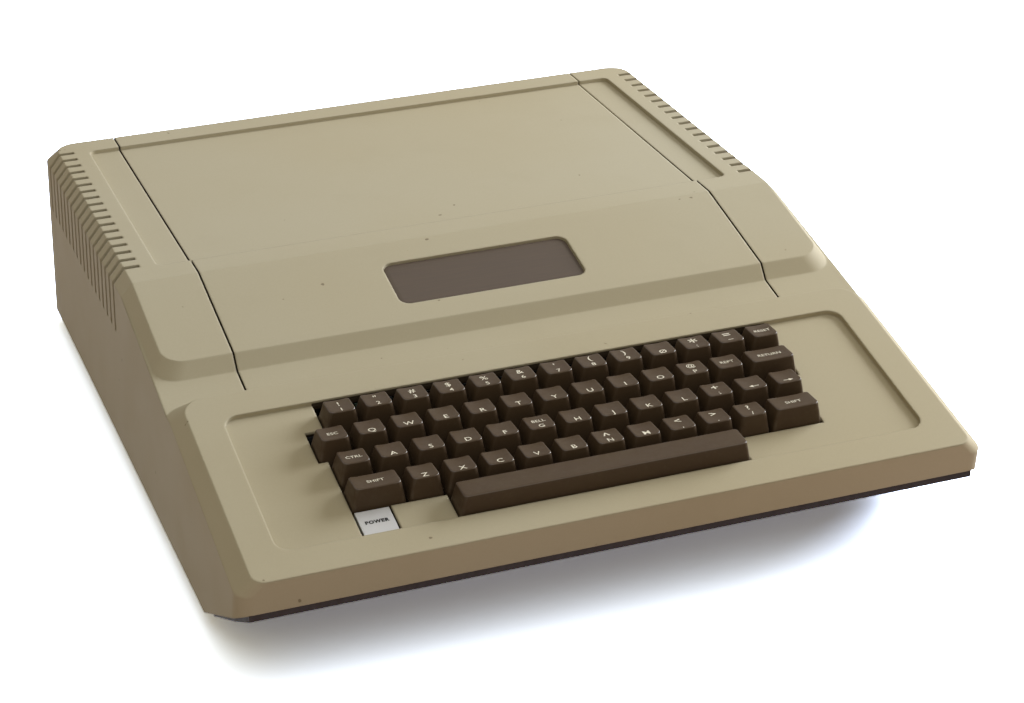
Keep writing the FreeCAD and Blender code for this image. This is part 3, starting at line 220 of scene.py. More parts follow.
# Keys from the front row to the back one: node, upper legend, lower legend
KEY_ROWS = (
    (("shift_left", "", "SHIFT"), ("z", "", "Z"), ("x", "", "X"), ("c", "", "C"),
     ("v", "", "V"), ("b", "", "B"), ("n", "^", "N"), ("m", "", "M"), ("comma", "<", ","),
     ("period", ">", "."), ("slash", "?", "/"), ("shift_right", "", "SHIFT")),
    (("ctrl", "", "CTRL"), ("a", "", "A"), ("s", "", "S"), ("d", "", "D"), ("f", "", "F"),
     ("g", "BELL", "G"), ("h", "", "H"), ("j", "", "J"), ("k", "", "K"), ("l", "", "L"),
     ("semicolon", "+", ";"), ("arrow_left", "", "←"), ("arrow_right", "", "→")),
    (("esc", "", "ESC"), ("q", "", "Q"), ("w", "", "W"), ("e", "", "E"), ("r", "", "R"),
     ("t", "", "T"), ("y", "", "Y"), ("u", "", "U"), ("i", "", "I"), ("o", "", "O"),
     ("p", "@", "P"), ("rept", "", "REPT"), ("return", "", "RETURN")),
    (("1", "!", "1"), ("2", '"', "2"), ("3", "#", "3"), ("4", "$", "4"), ("5", "%", "5"),
     ("6", "&", "6"), ("7", "'", "7"), ("8", "(", "8"), ("9", ")", "9"), ("0", "", "Ø"),
     ("colon", "*", ":"), ("minus", "=", "–"), ("reset", "", "RESET")),
)

# Size of some symbols beside that of the letters
SYMBOL_SIZES = {"*": 1.9, "+": 1.3, "^": 1.4, "=": 1.4, "<": 1.15, ">": 1.15, "?": 1.1,
                "@": 0.85, "(": 1.1, ")": 1.1, "–": 1.2}


# Settings

class CaseSettings(bpy.types.PropertyGroup):
    """Finish of the moulded case."""

    colour: FloatVectorProperty(
        name="Plastic", description="Colour of the moulding", subtype="COLOR", size=3,
        min=0.0, max=1.0, default=(0.445, 0.405, 0.305))
    aged: FloatVectorProperty(
        name="Yellowed plastic", description="Colour where light has aged it",
        subtype="COLOR", size=3, min=0.0, max=1.0, default=(0.425, 0.370, 0.255))
    edge: FloatProperty(
        name="Edge radius", description="Radius that the edges shade with", unit="LENGTH",
        min=0.0, default=0.0016)
    grain: FloatProperty(
        name="Grain", description="Size of the moulded texture", unit="LENGTH", min=0.0001,
        default=0.0006)


class KeySettings(bpy.types.PropertyGroup):
    """Finish of the keys, and the size of their edges and legends."""

    colour: FloatVectorProperty(
        name="Keycap", description="Colour of the keycaps", subtype="COLOR", size=3,
        min=0.0, max=1.0, default=(0.071, 0.047, 0.029))
    legend: FloatVectorProperty(
        name="Legend", description="Colour of the legends", subtype="COLOR", size=3,
        min=0.0, max=1.0, default=(0.76, 0.71, 0.58))
    edge: FloatProperty(
        name="Edge radius", description="Rounding round the key tops", unit="LENGTH",
        min=0.0001, default=0.0007)
    corner: FloatProperty(
        name="Corner radius", description="Corner radius of the key tops", unit="LENGTH",
        min=0.0005, default=0.0023)
    letter: FloatProperty(
        name="Letter size", description="Height of a single letter", unit="LENGTH",
        min=0.0005, default=0.0038)
    word: FloatProperty(
        name="Word size", description="Height of the letters in a word", unit="LENGTH",
        min=0.0005, default=0.0025)


class StageSettings(bpy.types.PropertyGroup):
    """Floor and light."""

    floor: FloatVectorProperty(
        name="Floor", description="Colour that the floor throws back", subtype="COLOR",
        size=3, min=0.0, max=1.0, default=(0.62, 0.49, 0.47))
    ambient: FloatProperty(
        name="Ambient light", description="Strength of the world's light", min=0.0,
        default=0.31)
    window: FloatProperty(
        name="Window light", description="Power of the lamp low on the right", min=0.0,
        default=72.0)
    ceiling: FloatProperty(
        name="Ceiling light", description="Strength from above and in front", min=0.0,
        default=0.78)


# Helpers

def tilted(origin, angle):
    """Frame of a plane that rises to the back."""
    return Matrix.Translation(origin) @ Matrix.Rotation(angle, 4, "X")


def key_frame():
    """Frame of the keys: across, up the slope and out of it."""
    crown = tilted(CROWN_FRONT, CROWN_ANGLE)
    return crown @ Matrix.Translation((0, KEYS_FROM_FRONT, 0))


def slope_frame():
    """Frame of the slope under the deck, from the bend."""
    return tilted(Vector((0, BEND_Y, DECK_TOP)), SLOPE_ANGLE)


def new_piece(name, shape, material, body):
    """Object from a bmesh, finished and riding on a body."""
    mesh = bpy.data.meshes.new(name)
    bmesh.ops.recalc_face_normals(shape, faces=shape.faces)
    shape.to_mesh(mesh)
    shape.free()
    piece = bpy.data.objects.new(name, mesh)
    bpy.context.scene.collection.objects.link(piece)
    mesh.materials.append(material)
    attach(piece, body)
    return piece


def smooth_by_angle(mesh, angle):
    """Smooth shading with sharp edges over an angle."""
    for face in mesh.polygons:
        face.use_smooth = True
    mesh.set_sharp_from_angle(angle=angle)


def rounded_ring(half, near, far, near_radius, steps=4, far_radius=None, side_steps=1):
    """Points of a rounded rectangle, in plan; side_steps divides its near and far side."""
    arcs = []
    corners = ((half, near, -90), (half, far, 0), (-half, far, 90), (-half, near, 180))
    for x, y, start in corners:
        radius = near_radius if y == near or far_radius is None else far_radius
        radius = max(min(radius, half * 0.98, (far - near) * 0.49), 0.00005)
        centre_x = x - math.copysign(radius, x)
        centre_y = y + radius if y == near else y - radius
        turns = [math.radians(start + 90 * step / steps) for step in range(steps + 1)]
        arcs.append([(centre_x + radius * math.cos(turn), centre_y + radius * math.sin(turn))
                     for turn in turns])

    def between(first, last):
        shares = [step / side_steps for step in range(1, side_steps)]
        return [(first[0] + (last[0] - first[0]) * share, first[1]) for share in shares]

    return (arcs[0] + arcs[1] + between(arcs[1][-1], arcs[2][0]) + arcs[2] + arcs[3]
            + between(arcs[3][-1], arcs[0][0]))


def bridge(shape, lower, upper):
    """Band of faces between two closed rings."""
    count = len(lower)
    for index in range(count):
        after = (index + 1) % count
        shape.faces.new((lower[index], lower[after], upper[after], upper[index]))


# Materials

class Shader:
    """Small builder for node materials."""

    def __init__(self, name):
        self.material = bpy.data.materials.new(name)
        self.material.use_nodes = True
        self.tree = self.material.node_tree
        self.surface = self.tree.nodes["Principled BSDF"]
        self.place = self.node("ShaderNodeTexCoord").outputs["Object"]

    def node(self, kind, **settings):
        """New node with its settings."""
        item = self.tree.nodes.new(kind)
        for key, value in settings.items():
            setattr(item, key, value)
        return item

    def link(self, source, target):
        """Joins two sockets."""
        self.tree.links.new(source, target)

    def noise(self, scale, detail=3.0, roughness=0.5, stretch=None):
        """Noise over the object's own space, squeezed per axis; scale is per metre."""
        item = self.node("ShaderNodeTexNoise")
        item.inputs["Scale"].default_value = scale
        item.inputs["Detail"].default_value = detail
        item.inputs["Roughness"].default_value = roughness
        place = self.place
        if stretch:
            mapping = self.node("ShaderNodeMapping")
            mapping.inputs["Scale"].default_value = stretch
            self.link(place, mapping.inputs["Vector"])
            place = mapping.outputs["Vector"]
        self.link(place, item.inputs["Vector"])
        return item.outputs["Fac"]

    def spread(self, source, low, high, to_low=0.0, to_high=1.0):
        """Maps a range of a value to another."""
        item = self.node("ShaderNodeMapRange")
        self.link(source, item.inputs["Value"])
        for name, value in (("From Min", low), ("From Max", high), ("To Min", to_low),
                            ("To Max", to_high)):
            item.inputs[name].default_value = value
        return item.outputs["Result"]

    def band(self, source, low, high, soft=0.00005):
        """One between two values, else zero."""
        return self.math("MULTIPLY", self.spread(source, low - soft, low + soft),
                         self.spread(source, high - soft, high + soft, 1.0, 0.0))

    def around(self, middle, reach):
        """One near a point, within a reach along each axis, else zero."""
        low, high = middle - Vector(reach), middle + Vector(reach)
        bands = [self.band(self.axis(name), low[index], high[index])
                 for index, name in enumerate("XYZ")]
        return self.math("MULTIPLY", bands[0], self.math("MULTIPLY", bands[1], bands[2]))

    def mix(self, factor, first, second):
        """Colour between two, by a factor."""
        item = self.node("ShaderNodeMix", data_type="RGBA")
        self.link(factor, item.inputs["Factor"])
        for name, value in (("A", first), ("B", second)):
            socket = next(s for s in item.inputs if s.name == name and s.type == "RGBA")
            if isinstance(value, bpy.types.NodeSocket):
                self.link(value, socket)
            else:
                socket.default_value = (*value, 1.0)
        return next(s for s in item.outputs if s.type == "RGBA")

    def math(self, operation, first, second=0.0):
        """One step of arithmetic."""
        item = self.node("ShaderNodeMath", operation=operation)
        for socket, value in zip(item.inputs, (first, second)):
            if isinstance(value, bpy.types.NodeSocket):
                self.link(value, socket)
            else:
                socket.default_value = value
        return item.outputs["Value"]

    def axis(self, name):
        """One coordinate of the object's own space, in metres."""
        item = self.node("ShaderNodeSeparateXYZ")
        self.link(self.place, item.inputs["Vector"])
        return item.outputs[name]

    def bump(self, height, distance, strength=1.0, edge=0.0):
        """Bump, over edges that shade as rounded."""
        item = self.node("ShaderNodeBump")
        item.inputs["Distance"].default_value = distance
        item.inputs["Strength"].default_value = strength
        self.link(height, item.inputs["Height"])
        if edge:
            bevel = self.node("ShaderNodeBevel", samples=6)
            bevel.inputs["Radius"].default_value = edge
            self.link(bevel.outputs["Normal"], item.inputs["Normal"])
        self.link(item.outputs["Normal"], self.surface.inputs["Normal"])

    def colour(self, source):
        """Base colour from a socket."""
        self.link(source, self.surface.inputs["Base Color"])

    def roughness(self, value):
        """Roughness, plain or from a socket."""
        socket = self.surface.inputs["Roughness"]
        if isinstance(value, bpy.types.NodeSocket):
            self.link(value, socket)
        else:
            socket.default_value = value


def opening_shade(shader):
    """Share of painted shade on the walls of the keys' opening, below the crown."""
    frame_matrix = key_frame().inverted()
    across = shader.axis("X")
    up_slope, above = (shader.math("ADD", shader.math(
        "ADD", shader.math("MULTIPLY", shader.axis("Y"), frame_matrix[row][1]),
        shader.math("MULTIPLY", shader.axis("Z"), frame_matrix[row][2])), frame_matrix[row][3])
        for row in (1, 2))
    before_back = shader.spread(up_slope, OPENING_FAR, OPENING_FAR + 0.0002, 1.0, 0.0)
    # Painted shade on all walls, well under the crown
    along = shader.math("MULTIPLY", shader.spread(up_slope, OPENING_NEAR, OPENING_NEAR + 0.0002),
                        before_back)
    reach = shader.spread(shader.math("ABSOLUTE", across), OPENING_REACH,
                          OPENING_REACH + 0.001, 1.0, 0.0)
    deep = shader.math("MULTIPLY", shader.spread(above, DARK_BELOW, DARK_BELOW + 0.0008, 1.0, 0.0),
                       shader.math("MULTIPLY", along, reach))
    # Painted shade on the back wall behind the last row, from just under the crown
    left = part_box("key_1")[0].x - ROW_MARGIN
    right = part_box("key_reset")[1].x + ROW_MARGIN
    row_width = shader.math("MULTIPLY", shader.spread(across, left, left + 0.0002),
                            shader.spread(across, right - 0.0002, right, 1.0, 0.0))
    back = shader.math("MULTIPLY",
                       shader.spread(above, DARK_BELOW_WALL, DARK_BELOW_WALL + 0.0006, 1.0, 0.0),
                       shader.math("MULTIPLY", before_back, shader.spread(
                           up_slope, BACK_WALL_NEAR, BACK_WALL_NEAR + 0.0002)))
    return shader.math("MAXIMUM", deep, shader.math("MULTIPLY", row_width, back))


def seam_shade(shader):
    """Share of painted shade in the seams at the lid's sides; on the right one it fades out behind
    the bend, over the deck.
    """
    low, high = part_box("lid")
    across = shader.math("ABSOLUTE", shader.axis("X"))
    seam = shader.math("MULTIPLY", shader.band(across, high.x - 0.0001, high.x + SEAM_WIDTH),
                       shader.band(shader.axis("Y"), low.y, high.y - SEAM_BACK_MARGIN))
    left = shader.spread(shader.axis("X"), -0.01, 0.01, 1.0, 0.0)
    front = shader.spread(shader.axis("Y"), BEND_Y, SEAM_SHADE_END_Y, 1.0, 0.0)
    return shader.math("MULTIPLY", seam, shader.math("MAXIMUM", left, front))


def case_plastic(settings):
    """Beige moulding: fine texture, uneven yellowing, small scuffs and specks, with painted shade
    in the keys' opening and the lid's seams.
    """
    shader = Shader("case_plastic")
    cloud = shader.noise(2.6, 3.0, 0.5)
    tone = shader.mix(shader.spread(cloud, 0.38, 0.66), settings.colour, settings.aged)
    grime = shader.spread(shader.noise(16.0, 6.0, 0.62), 0.54, 0.74, 0.0, 0.11)
    across = shader.math("ABSOLUTE", shader.axis("X"))
    handled = shader.math("MULTIPLY", grime, shader.spread(
        across, SIDE_WALL_X, SIDE_WALL_X + 0.004, 1.0, 0.1))
    tone = shader.mix(handled, tone, (0.33, 0.28, 0.19))
    fine = shader.noise(900.0, 2.0)
    tone = shader.mix(shader.spread(fine, 0.3, 0.7, 0.0, 0.07), tone, (0.30, 0.26, 0.18))
    speck = shader.noise(170.0, 1.0)
    dark = shader.spread(speck, 0.795, 0.82, 0.0, 0.6)
    tone = shader.mix(dark, tone, (0.10, 0.07, 0.04))
    # Painted shade: the walls of the keys' opening and the lid's seams turn dark brown
    shade = shader.math("MAXIMUM", opening_shade(shader), seam_shade(shader))
    shader.colour(shader.mix(shade, tone, (0.045, 0.032, 0.020)))
    shader.roughness(shader.spread(shader.noise(45.0, 5.0), 0.3, 0.7, 0.56, 0.62))
    shader.surface.inputs["Specular IOR Level"].default_value = 0.12
    grain = shader.noise(1.0 / settings.grain, 2.0, 0.6)
    shader.bump(grain, 0.00005, 0.5, settings.edge)
    return shader.material


def base_paint():
    """Dark brown paint of the base plate, with the rubber of its feet below."""
    shader = Shader("base_paint")
    height = shader.axis("Z")
    rubber = shader.spread(height, 0.0083, 0.0085)
    rust = shader.spread(shader.noise(120.0, 5.0), 0.45, 0.75, 0.0, 0.5)
    paint = shader.mix(rust, (0.020, 0.010, 0.009), (0.036, 0.020, 0.015))
    shader.colour(shader.mix(rubber, (0.018, 0.017, 0.017), paint))
    shader.roughness(shader.spread(shader.noise(300.0, 3.0), 0.3, 0.7, 0.5, 0.68))
    shader.surface.inputs["Specular IOR Level"].default_value = 0.3
    shader.bump(shader.noise(1400.0, 2.0), 0.00005, 0.5, 0.0004)
    return shader.material


def key_plastic(settings):
    """Dark brown keycap plastic, polished at its edges."""
    shader = Shader("key_plastic")
    cloud = shader.noise(60.0, 3.0)
    tone = shader.mix(shader.spread(cloud, 0.35, 0.65, 0.0, 0.5), settings.colour,
                      (0.080, 0.055, 0.032))
    dust = shader.spread(shader.noise(420.0, 4.0), 0.55, 0.8, 0.0, 0.2)
    shader.colour(shader.mix(dust, tone, (0.11, 0.09, 0.065)))
    edges = shader.spread(shader.node("ShaderNodeNewGeometry").outputs["Pointiness"],
                          0.53, 0.59)
    rough = shader.spread(shader.noise(220.0, 4.0), 0.3, 0.7, 0.40, 0.54)
    shader.roughness(shader.math("SUBTRACT", rough, shader.math("MULTIPLY", edges, 0.28)))
    shader.link(shader.spread(edges, 0.0, 1.0, 0.1, 1.0),
                shader.surface.inputs["Specular IOR Level"])
    shader.bump(shader.noise(2600.0, 2.0), 0.00002, 0.4)
    return shader.material


def legend_ink(name, colour, roughness):
    """Flat colour of the legends, slightly uneven."""
    shader = Shader(name)
    fade = shader.spread(shader.noise(700.0, 3.0), 0.35, 0.75, 0.0, 0.25)
    shader.colour(shader.mix(fade, colour, tuple(part * 0.7 for part in colour)))
    shader.roughness(roughness)
    return shader.material


def lamp_plastic():
    """Milky white cap of the power lamp."""
    shader = Shader("lamp_plastic")
    cloud = shader.spread(shader.noise(90.0, 3.0), 0.3, 0.7, 0.0, 0.35)
    shader.colour(shader.mix(cloud, (0.60, 0.60, 0.62), (0.52, 0.52, 0.54)))
    shader.roughness(0.38)
    shader.bump(shader.noise(500.0, 2.0), 0.00003, 0.3, 0.0006)
    return shader.material


def painted_steel():
    """Black paint of the switch plate, slightly worn."""
    shader = Shader("painted_steel")
    wear = shader.spread(shader.noise(150.0, 4.0), 0.5, 0.75, 0.0, 0.4)
    shader.colour(shader.mix(wear, (0.020, 0.019, 0.018), (0.045, 0.043, 0.040)))
    shader.roughness(shader.spread(shader.noise(400.0, 3.0), 0.3, 0.7, 0.35, 0.55))
    shader.bump(shader.noise(1200.0, 2.0), 0.00004, 0.5)
    return shader.material


def board_finish():
    """Green circuit board with its traces, black parts on it and the jacks' metal barrels."""
    shader = Shader("board_finish")
    lines = shader.node("ShaderNodeTexBrick")
    lines.inputs["Scale"].default_value = 160.0
    lines.inputs["Mortar Size"].default_value = 0.06
    shader.link(shader.place, lines.inputs["Vector"])
    trace = shader.spread(lines.outputs["Fac"], 0.2, 0.8)
    patch = shader.spread(shader.noise(35.0, 1.0), 0.45, 0.5)
    green = shader.mix(shader.math("MULTIPLY", trace, patch), (0.012, 0.075, 0.028),
                       (0.035, 0.16, 0.055))
    above = shader.spread(shader.axis("Z"), BOARD_TOP + 0.0001, BOARD_TOP + 0.0003)
    parts = shader.mix(above, green, (0.014, 0.014, 0.015))
    barrels = shader.math("MULTIPLY", above, shader.spread(
        shader.axis("Y"), BOARD_BACK + 0.0001, BOARD_BACK + 0.0002))
    shader.colour(shader.mix(barrels, parts, (0.55, 0.54, 0.52)))
    shader.link(barrels, shader.surface.inputs["Metallic"])
    shader.roughness(shader.spread(shader.noise(300.0, 3.0), 0.3, 0.7, 0.3, 0.5))
    shader.bump(shader.noise(900.0, 2.0), 0.00003, 0.4, 0.0003)
    return shader.material


def supply_finish():
    """Brushed, gold-tinted metal of the power supply, with its black inlet and rocker frame."""
    shader = Shader("supply_finish")
    streaks = shader.noise(30.0, 4.0, stretch=(40.0, 1.5, 40.0))
    low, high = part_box("power_supply")
    inlet, rocker = (Vector((low.x + x, high.y, low.z + PORT_HEIGHT))
                     for x in (INLET_X, ROCKER_X))
    black = shader.math("MAXIMUM", shader.around(inlet, INLET_REACH),
                        shader.around(rocker, ROCKER_REACH))
    for x, z in PINS:
        pin = shader.around(inlet + Vector((x, -0.0002, z)), PIN_REACH)
        black = shader.math("SUBTRACT", black, pin)
    metal = shader.mix(shader.spread(streaks, 0.3, 0.7), (0.56, 0.50, 0.38),
                       (0.44, 0.39, 0.29))
    shader.colour(shader.mix(black, metal, (0.012, 0.012, 0.013)))
    shader.roughness(shader.spread(streaks, 0.3, 0.7, 0.28, 0.46))
    shader.link(shader.math("SUBTRACT", 1.0, black), shader.surface.inputs["Metallic"])
    shader.bump(streaks, 0.00003, 0.3, 0.0006)
    return shader.material


def rocker_plastic():
    """Glossy black plastic with fine dust."""
    shader = Shader("rocker_plastic")
    dust = shader.spread(shader.noise(800.0, 4.0), 0.55, 0.8, 0.0, 0.35)
    shader.colour(shader.mix(dust, (0.010, 0.010, 0.011), (0.09, 0.085, 0.08)))
    shader.roughness(shader.spread(shader.noise(200.0, 3.0), 0.3, 0.7, 0.16, 0.30))
    shader.bump(shader.noise(1500.0, 2.0), 0.00002, 0.3, 0.0005)
    return shader.material


def plate_finish():
    """Dark brown, bare nameplate with a fine satin grain."""
    shader = Shader("plate_finish")
    grain = shader.noise(25.0, 3.0, stretch=(2.0, 60.0, 60.0))
    shader.colour(shader.mix(shader.spread(grain, 0.3, 0.7), (0.076, 0.055, 0.040),
                             (0.094, 0.069, 0.051)))
    shader.roughness(shader.spread(grain, 0.3, 0.7, 0.55, 0.7))
    shader.surface.inputs["Specular IOR Level"].default_value = 0.3
    shader.bump(grain, 0.00002, 0.3)
    return shader.material


def leg_metal():
    """Tinned metal of the chips' legs."""
    shader = Shader("leg_metal")
    dull = shader.noise(900.0, 3.0)
    shader.colour(shader.mix(shader.spread(dull, 0.3, 0.7), (0.60, 0.59, 0.56),
                             (0.42, 0.41, 0.38)))
    shader.roughness(shader.spread(dull, 0.3, 0.7, 0.30, 0.45))
    shader.surface.inputs["Metallic"].default_value = 1.0
    return shader.material


def assign(node, material):
    """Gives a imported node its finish."""
    mesh = frame["nodes"][node].data
    mesh.materials.clear()
    mesh.materials.append(material)


# Keycaps

class Cap:
    """Form of one keycap in the frame of the keys, in metres."""

    def __init__(self, node, row):
        low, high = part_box(node)
        self.node = node
        self.name = node.removeprefix("key_")
        self.x = (low.x + high.x) / 2
        self.half = (high.x - low.x) / 2
        if row is None:
            self.near, self.far = BAR_NEAR, BAR_NEAR + BAR_LENGTH
            self.back_taper, self.tilt, self.dish = BAR_BACK_TAPER, BAR_TILT, 0.0
        else:
            middle = FRONT_ROW_DEPTH + (row + 0.5) * ROW_PITCH
            self.near, self.far = middle - CAP_LENGTH / 2, middle + CAP_LENGTH / 2
            self.back_taper, self.tilt, self.dish = CAP_BACK_TAPER, CAP_TILT, CAP_DISH
        self.top_half = self.half - CAP_SIDE_TAPER
        self.top_near = self.near + CAP_FRONT_TAPER
        self.top_far = self.far - self.back_taper

    def top(self, x, y):
        """Height of the dished top over the crown."""
        level = CAP_HEIGHT - (y - self.top_near) * math.tan(self.tilt)
        share = min(abs(x) / self.top_half, 1.0)
        return level - self.dish * (1 - share * share)

    def ring(self, rise, inset, radius):
        """Rounded outline at a share of the height, drawn in by an inset."""
        side_rise = max(rise - CAP_UPRIGHT_SHARE, 0.0) / (1.0 - CAP_UPRIGHT_SHARE)
        return rounded_ring(self.half - CAP_SIDE_TAPER * side_rise - inset,
                            self.near + CAP_FRONT_TAPER * rise + inset,
                            self.far - self.back_taper * rise - inset, radius,
                            far_radius=radius * 0.6, side_steps=8 if self.dish else 1)


def cap_mesh(cap, edge, corner):
    """Keycap with rounded edges, a dished top, walls inside and its stem."""
    shape = bmesh.new()
    frame_matrix = key_frame() @ Matrix.Translation((cap.x, 0, 0))
    skirt_corner = corner * 0.6

    def verts(points):
        return [shape.verts.new(frame_matrix @ Vector(point)) for point in points]

    rings = []
    for rise in (0.0, 0.35, 0.7, 1.0):
        radius = skirt_corner + (corner - skirt_corner) * rise
        outline = cap.ring(rise, 0.0, radius)
        level = [(x, y, CAP_SKIRT + rise * (cap.top(x, y) - edge - CAP_SKIRT))
                 for x, y in outline]
        rings.append(verts(level))
    for step in range(1, 5):
        turn = math.radians(90 * step / 4)
        inset = edge * (1 - math.cos(turn))
        outline = cap.ring(1.0, inset, corner - inset * 0.5)
        rings.append(verts([(x, y, cap.top(x, y) - edge * (1 - math.sin(turn)))
                            for x, y in outline]))
    middle = (cap.top_near + cap.top_far) / 2
    for share in (0.85, 0.65, 0.45, 0.25, 0.1):
        outline = []
        for x, y in cap.ring(1.0, edge, corner - edge * 0.5):
            side = x * share if cap.half < WIDE_HALF else math.copysign(
                max(abs(x) - (1 - share) * (cap.top_far - cap.top_near) / 2, 0.0), x)
            outline.append((side, middle + (y - middle) * share))
        rings.append(verts([(x, y, cap.top(x, y)) for x, y in outline]))
    for lower, upper in zip(rings, rings[1:]):
        bridge(shape, lower, upper)
    shape.faces.new(rings[-1])
    # Walls inside and the stem under the roof
    roof = cap.top(0, cap.top_far) - CAP_ROOF
    share = (roof - CAP_SKIRT) / (CAP_HEIGHT - CAP_SKIRT)
    inner = [verts([(x, y, height) for x, y in cap.ring(rise, CAP_WALL, skirt_corner)])
             for rise, height in ((0.0, CAP_SKIRT), (share, roof))]
    bridge(shape, inner[0], rings[0])
    bridge(shape, inner[1], inner[0])
    shape.faces.new(inner[1])
    stem_middle = (cap.near + cap.far) / 2
    half = STEM_SIDE / 2
    for offset in stem_offsets(cap):
        stem = [verts([(x + offset, y + stem_middle, height)
                       for x, y in rounded_ring(half, -half, half, STEM_CORNER, 1)])
                for height in (STEM_LOW, roof + 0.0003)]
        bridge(shape, stem[0], stem[1])
        shape.faces.new(stem[0])
        shape.faces.new(stem[1])
    return shape


def stem_offsets(cap):
    """Stems of a cap from its middle; the long bar has two guides."""
    return (-BAR_GUIDE_X, 0.0, BAR_GUIDE_X) if cap.half > WIDE_HALF else (0.0,)


def all_caps():
    """Every key with its legends."""
    caps = [(Cap("key_" + name, row), upper, lower)
            for row, keys in enumerate(KEY_ROWS) for name, upper, lower in keys]
    return caps + [(Cap("key_space", None), "", "")]


def body_of(node):
    """Body that a node rides on."""
    return frame["nodes"][node]["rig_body"]


# Legends

def letter_shape(text, size, weight):
    """Flat triangles of a word, centred, as lists of points and faces."""
    curve = bpy.data.curves.new("legend_text", "FONT")
    curve.body = text
    curve.size = size * TEXT_OVER_CAPITAL
    curve.offset = size * weight
    curve.space_character = 1.0 + weight * 2.0
    curve.align_x = "CENTER"
    curve.resolution_u = 3
    holder = bpy.data.objects.new("legend_text", curve)
    bpy.context.scene.collection.objects.link(holder)
    bpy.context.view_layer.update()
    mesh = bpy.data.meshes.new_from_object(
        holder.evaluated_get(bpy.context.evaluated_depsgraph_get()))
    points = [vertex.co.copy() for vertex in mesh.vertices]
    faces = [tuple(face.vertices) for face in mesh.polygons]
    bpy.data.objects.remove(holder)
    bpy.data.curves.remove(curve)
    bpy.data.meshes.remove(mesh)
    return points, faces


def add_faces(shape, points, faces):
    """Adds faces over points to a bmesh."""
    corners = [shape.verts.new(point) for point in points]
    for face in faces:
        shape.faces.new([corners[index] for index in face])


def legend_shape(text, size):
    """Points and faces of a legend; an arrow has a solid head and a thin tail."""
    if text not in ("←", "→"):
        points, faces = letter_shape(text, size * SYMBOL_SIZES.get(text, 1.0),
                                     LEGEND_WEIGHT)
        if text in SYMBOL_SIZES and points:
            heights = [point.y for point in points]
            drop = (min(heights) + max(heights)) / 2 - size * 0.5
            points = [point - Vector((0, drop, 0)) for point in points]
        return points, faces
    way = -1 if text == "←" else 1
    outline = ((0.5, 0.0), (0.08, 0.22), (0.08, -0.22), (0.08, 0.045), (-0.5, 0.045),
               (-0.5, -0.045), (0.08, -0.045))
    points = [Vector((x * size * way, (y + 0.3) * size, 0)) for x, y in outline]
    return points, [(0, 1, 2), (3, 4, 5, 6)]


def add_legend(shape, cap, text, size, place):
    """Word laid on the dished top of a cap; place is up the slope."""
    points, faces = legend_shape(text, size)
    if not points:
        raise RuntimeError("the legend %s has no outline" % text)
    frame_matrix = key_frame() @ Matrix.Translation((cap.x, 0, 0))
    laid = []
    for point in points:
        x, y = point.x, place + point.y * math.cos(cap.tilt)
        laid.append(frame_matrix @ Vector((x, y, cap.top(x, y) + LEGEND_LIFT)))
    add_faces(shape, laid, faces)


# Operators

class COMPUTER_OT_finish_case(bpy.types.Operator):
    """Give the case and its lid their moulded plastic"""

    bl_idname = "computer.finish_case"
    bl_label = "Case and Lid"

    def execute(self, context):
        material = case_plastic(context.scene.computer_case)
        for node in ("case_shell", "lid"):
            assign(node, material)
        return {"FINISHED"}


class COMPUTER_OT_build_keycaps(bpy.types.Operator):
    """Build the keycaps with rounded edges and dished tops"""

    bl_idname = "computer.build_keycaps"
    bl_label = "Keycaps"

    def execute(self, context):
        settings = context.scene.computer_keys
        material = key_plastic(settings)
        for cap, _, _ in all_caps():
            shape = cap_mesh(cap, settings.edge, settings.corner)
            piece = new_piece("cap_" + cap.name, shape, material, body_of(cap.node))
            smooth_by_angle(piece.data, CAP_ANGLE)
            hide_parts(cap.node)
        return {"FINISHED"}


class COMPUTER_OT_print_legends(bpy.types.Operator):
    """Lay the legends on the key tops"""

    bl_idname = "computer.print_legends"
    bl_label = "Legends"

    def execute(self, context):
        settings = context.scene.computer_keys
        ink = legend_ink("legend_ink", settings.legend, 0.4)
        for cap, upper, lower in all_caps():
            if not lower:
                continue
            shape = bmesh.new()
            front = cap.top_near + LEGEND_MARGIN
            depth = cap.top_far - cap.top_near
            if upper:
                size = (settings.word * UPPER_WORD if len(upper) > 1
                        else settings.letter * UPPER_LETTER)
                add_legend(shape, cap, upper, size, cap.top_near + depth * UPPER_LEGEND_SHARE)
                add_legend(shape, cap, lower, settings.letter * LOWER_LETTER, front)
            elif len(lower) > 1:
                add_legend(shape, cap, lower, settings.word, cap.top_near + depth * WORD_SHARE)
            else:
                size = settings.letter * (ARROW if lower in "←→" else 1.0)
                add_legend(shape, cap, lower, size, front)
            new_piece("legend_" + cap.name, shape, ink, body_of(cap.node))
        return {"FINISHED"}


class COMPUTER_OT_fit_nameplate(bpy.types.Operator):
    """Fit the bare nameplate into its recess on the slope"""

    bl_idname = "computer.fit_nameplate"
    bl_label = "Nameplate"

    def execute(self, context):
        shape = bmesh.new()
        place = slope_frame()
        rings = []
        for height, inset in PLATE_RINGS:
            outline = rounded_ring(PLATE_HALF - inset, PLATE_NEAR + inset, PLATE_FAR - inset,
                                   PLATE_CORNER - inset, 6)
            rings.append([shape.verts.new(place @ Vector((x, y, height))) for x, y in outline])
        for lower, upper in zip(rings, rings[1:]):
            bridge(shape, lower, upper)
        shape.faces.new(rings[0])
        shape.faces.new(rings[-1])
        piece = new_piece("nameplate", shape, plate_finish(), "lid")
        smooth_by_angle(piece.data, PLATE_ANGLE)
        return {"FINISHED"}


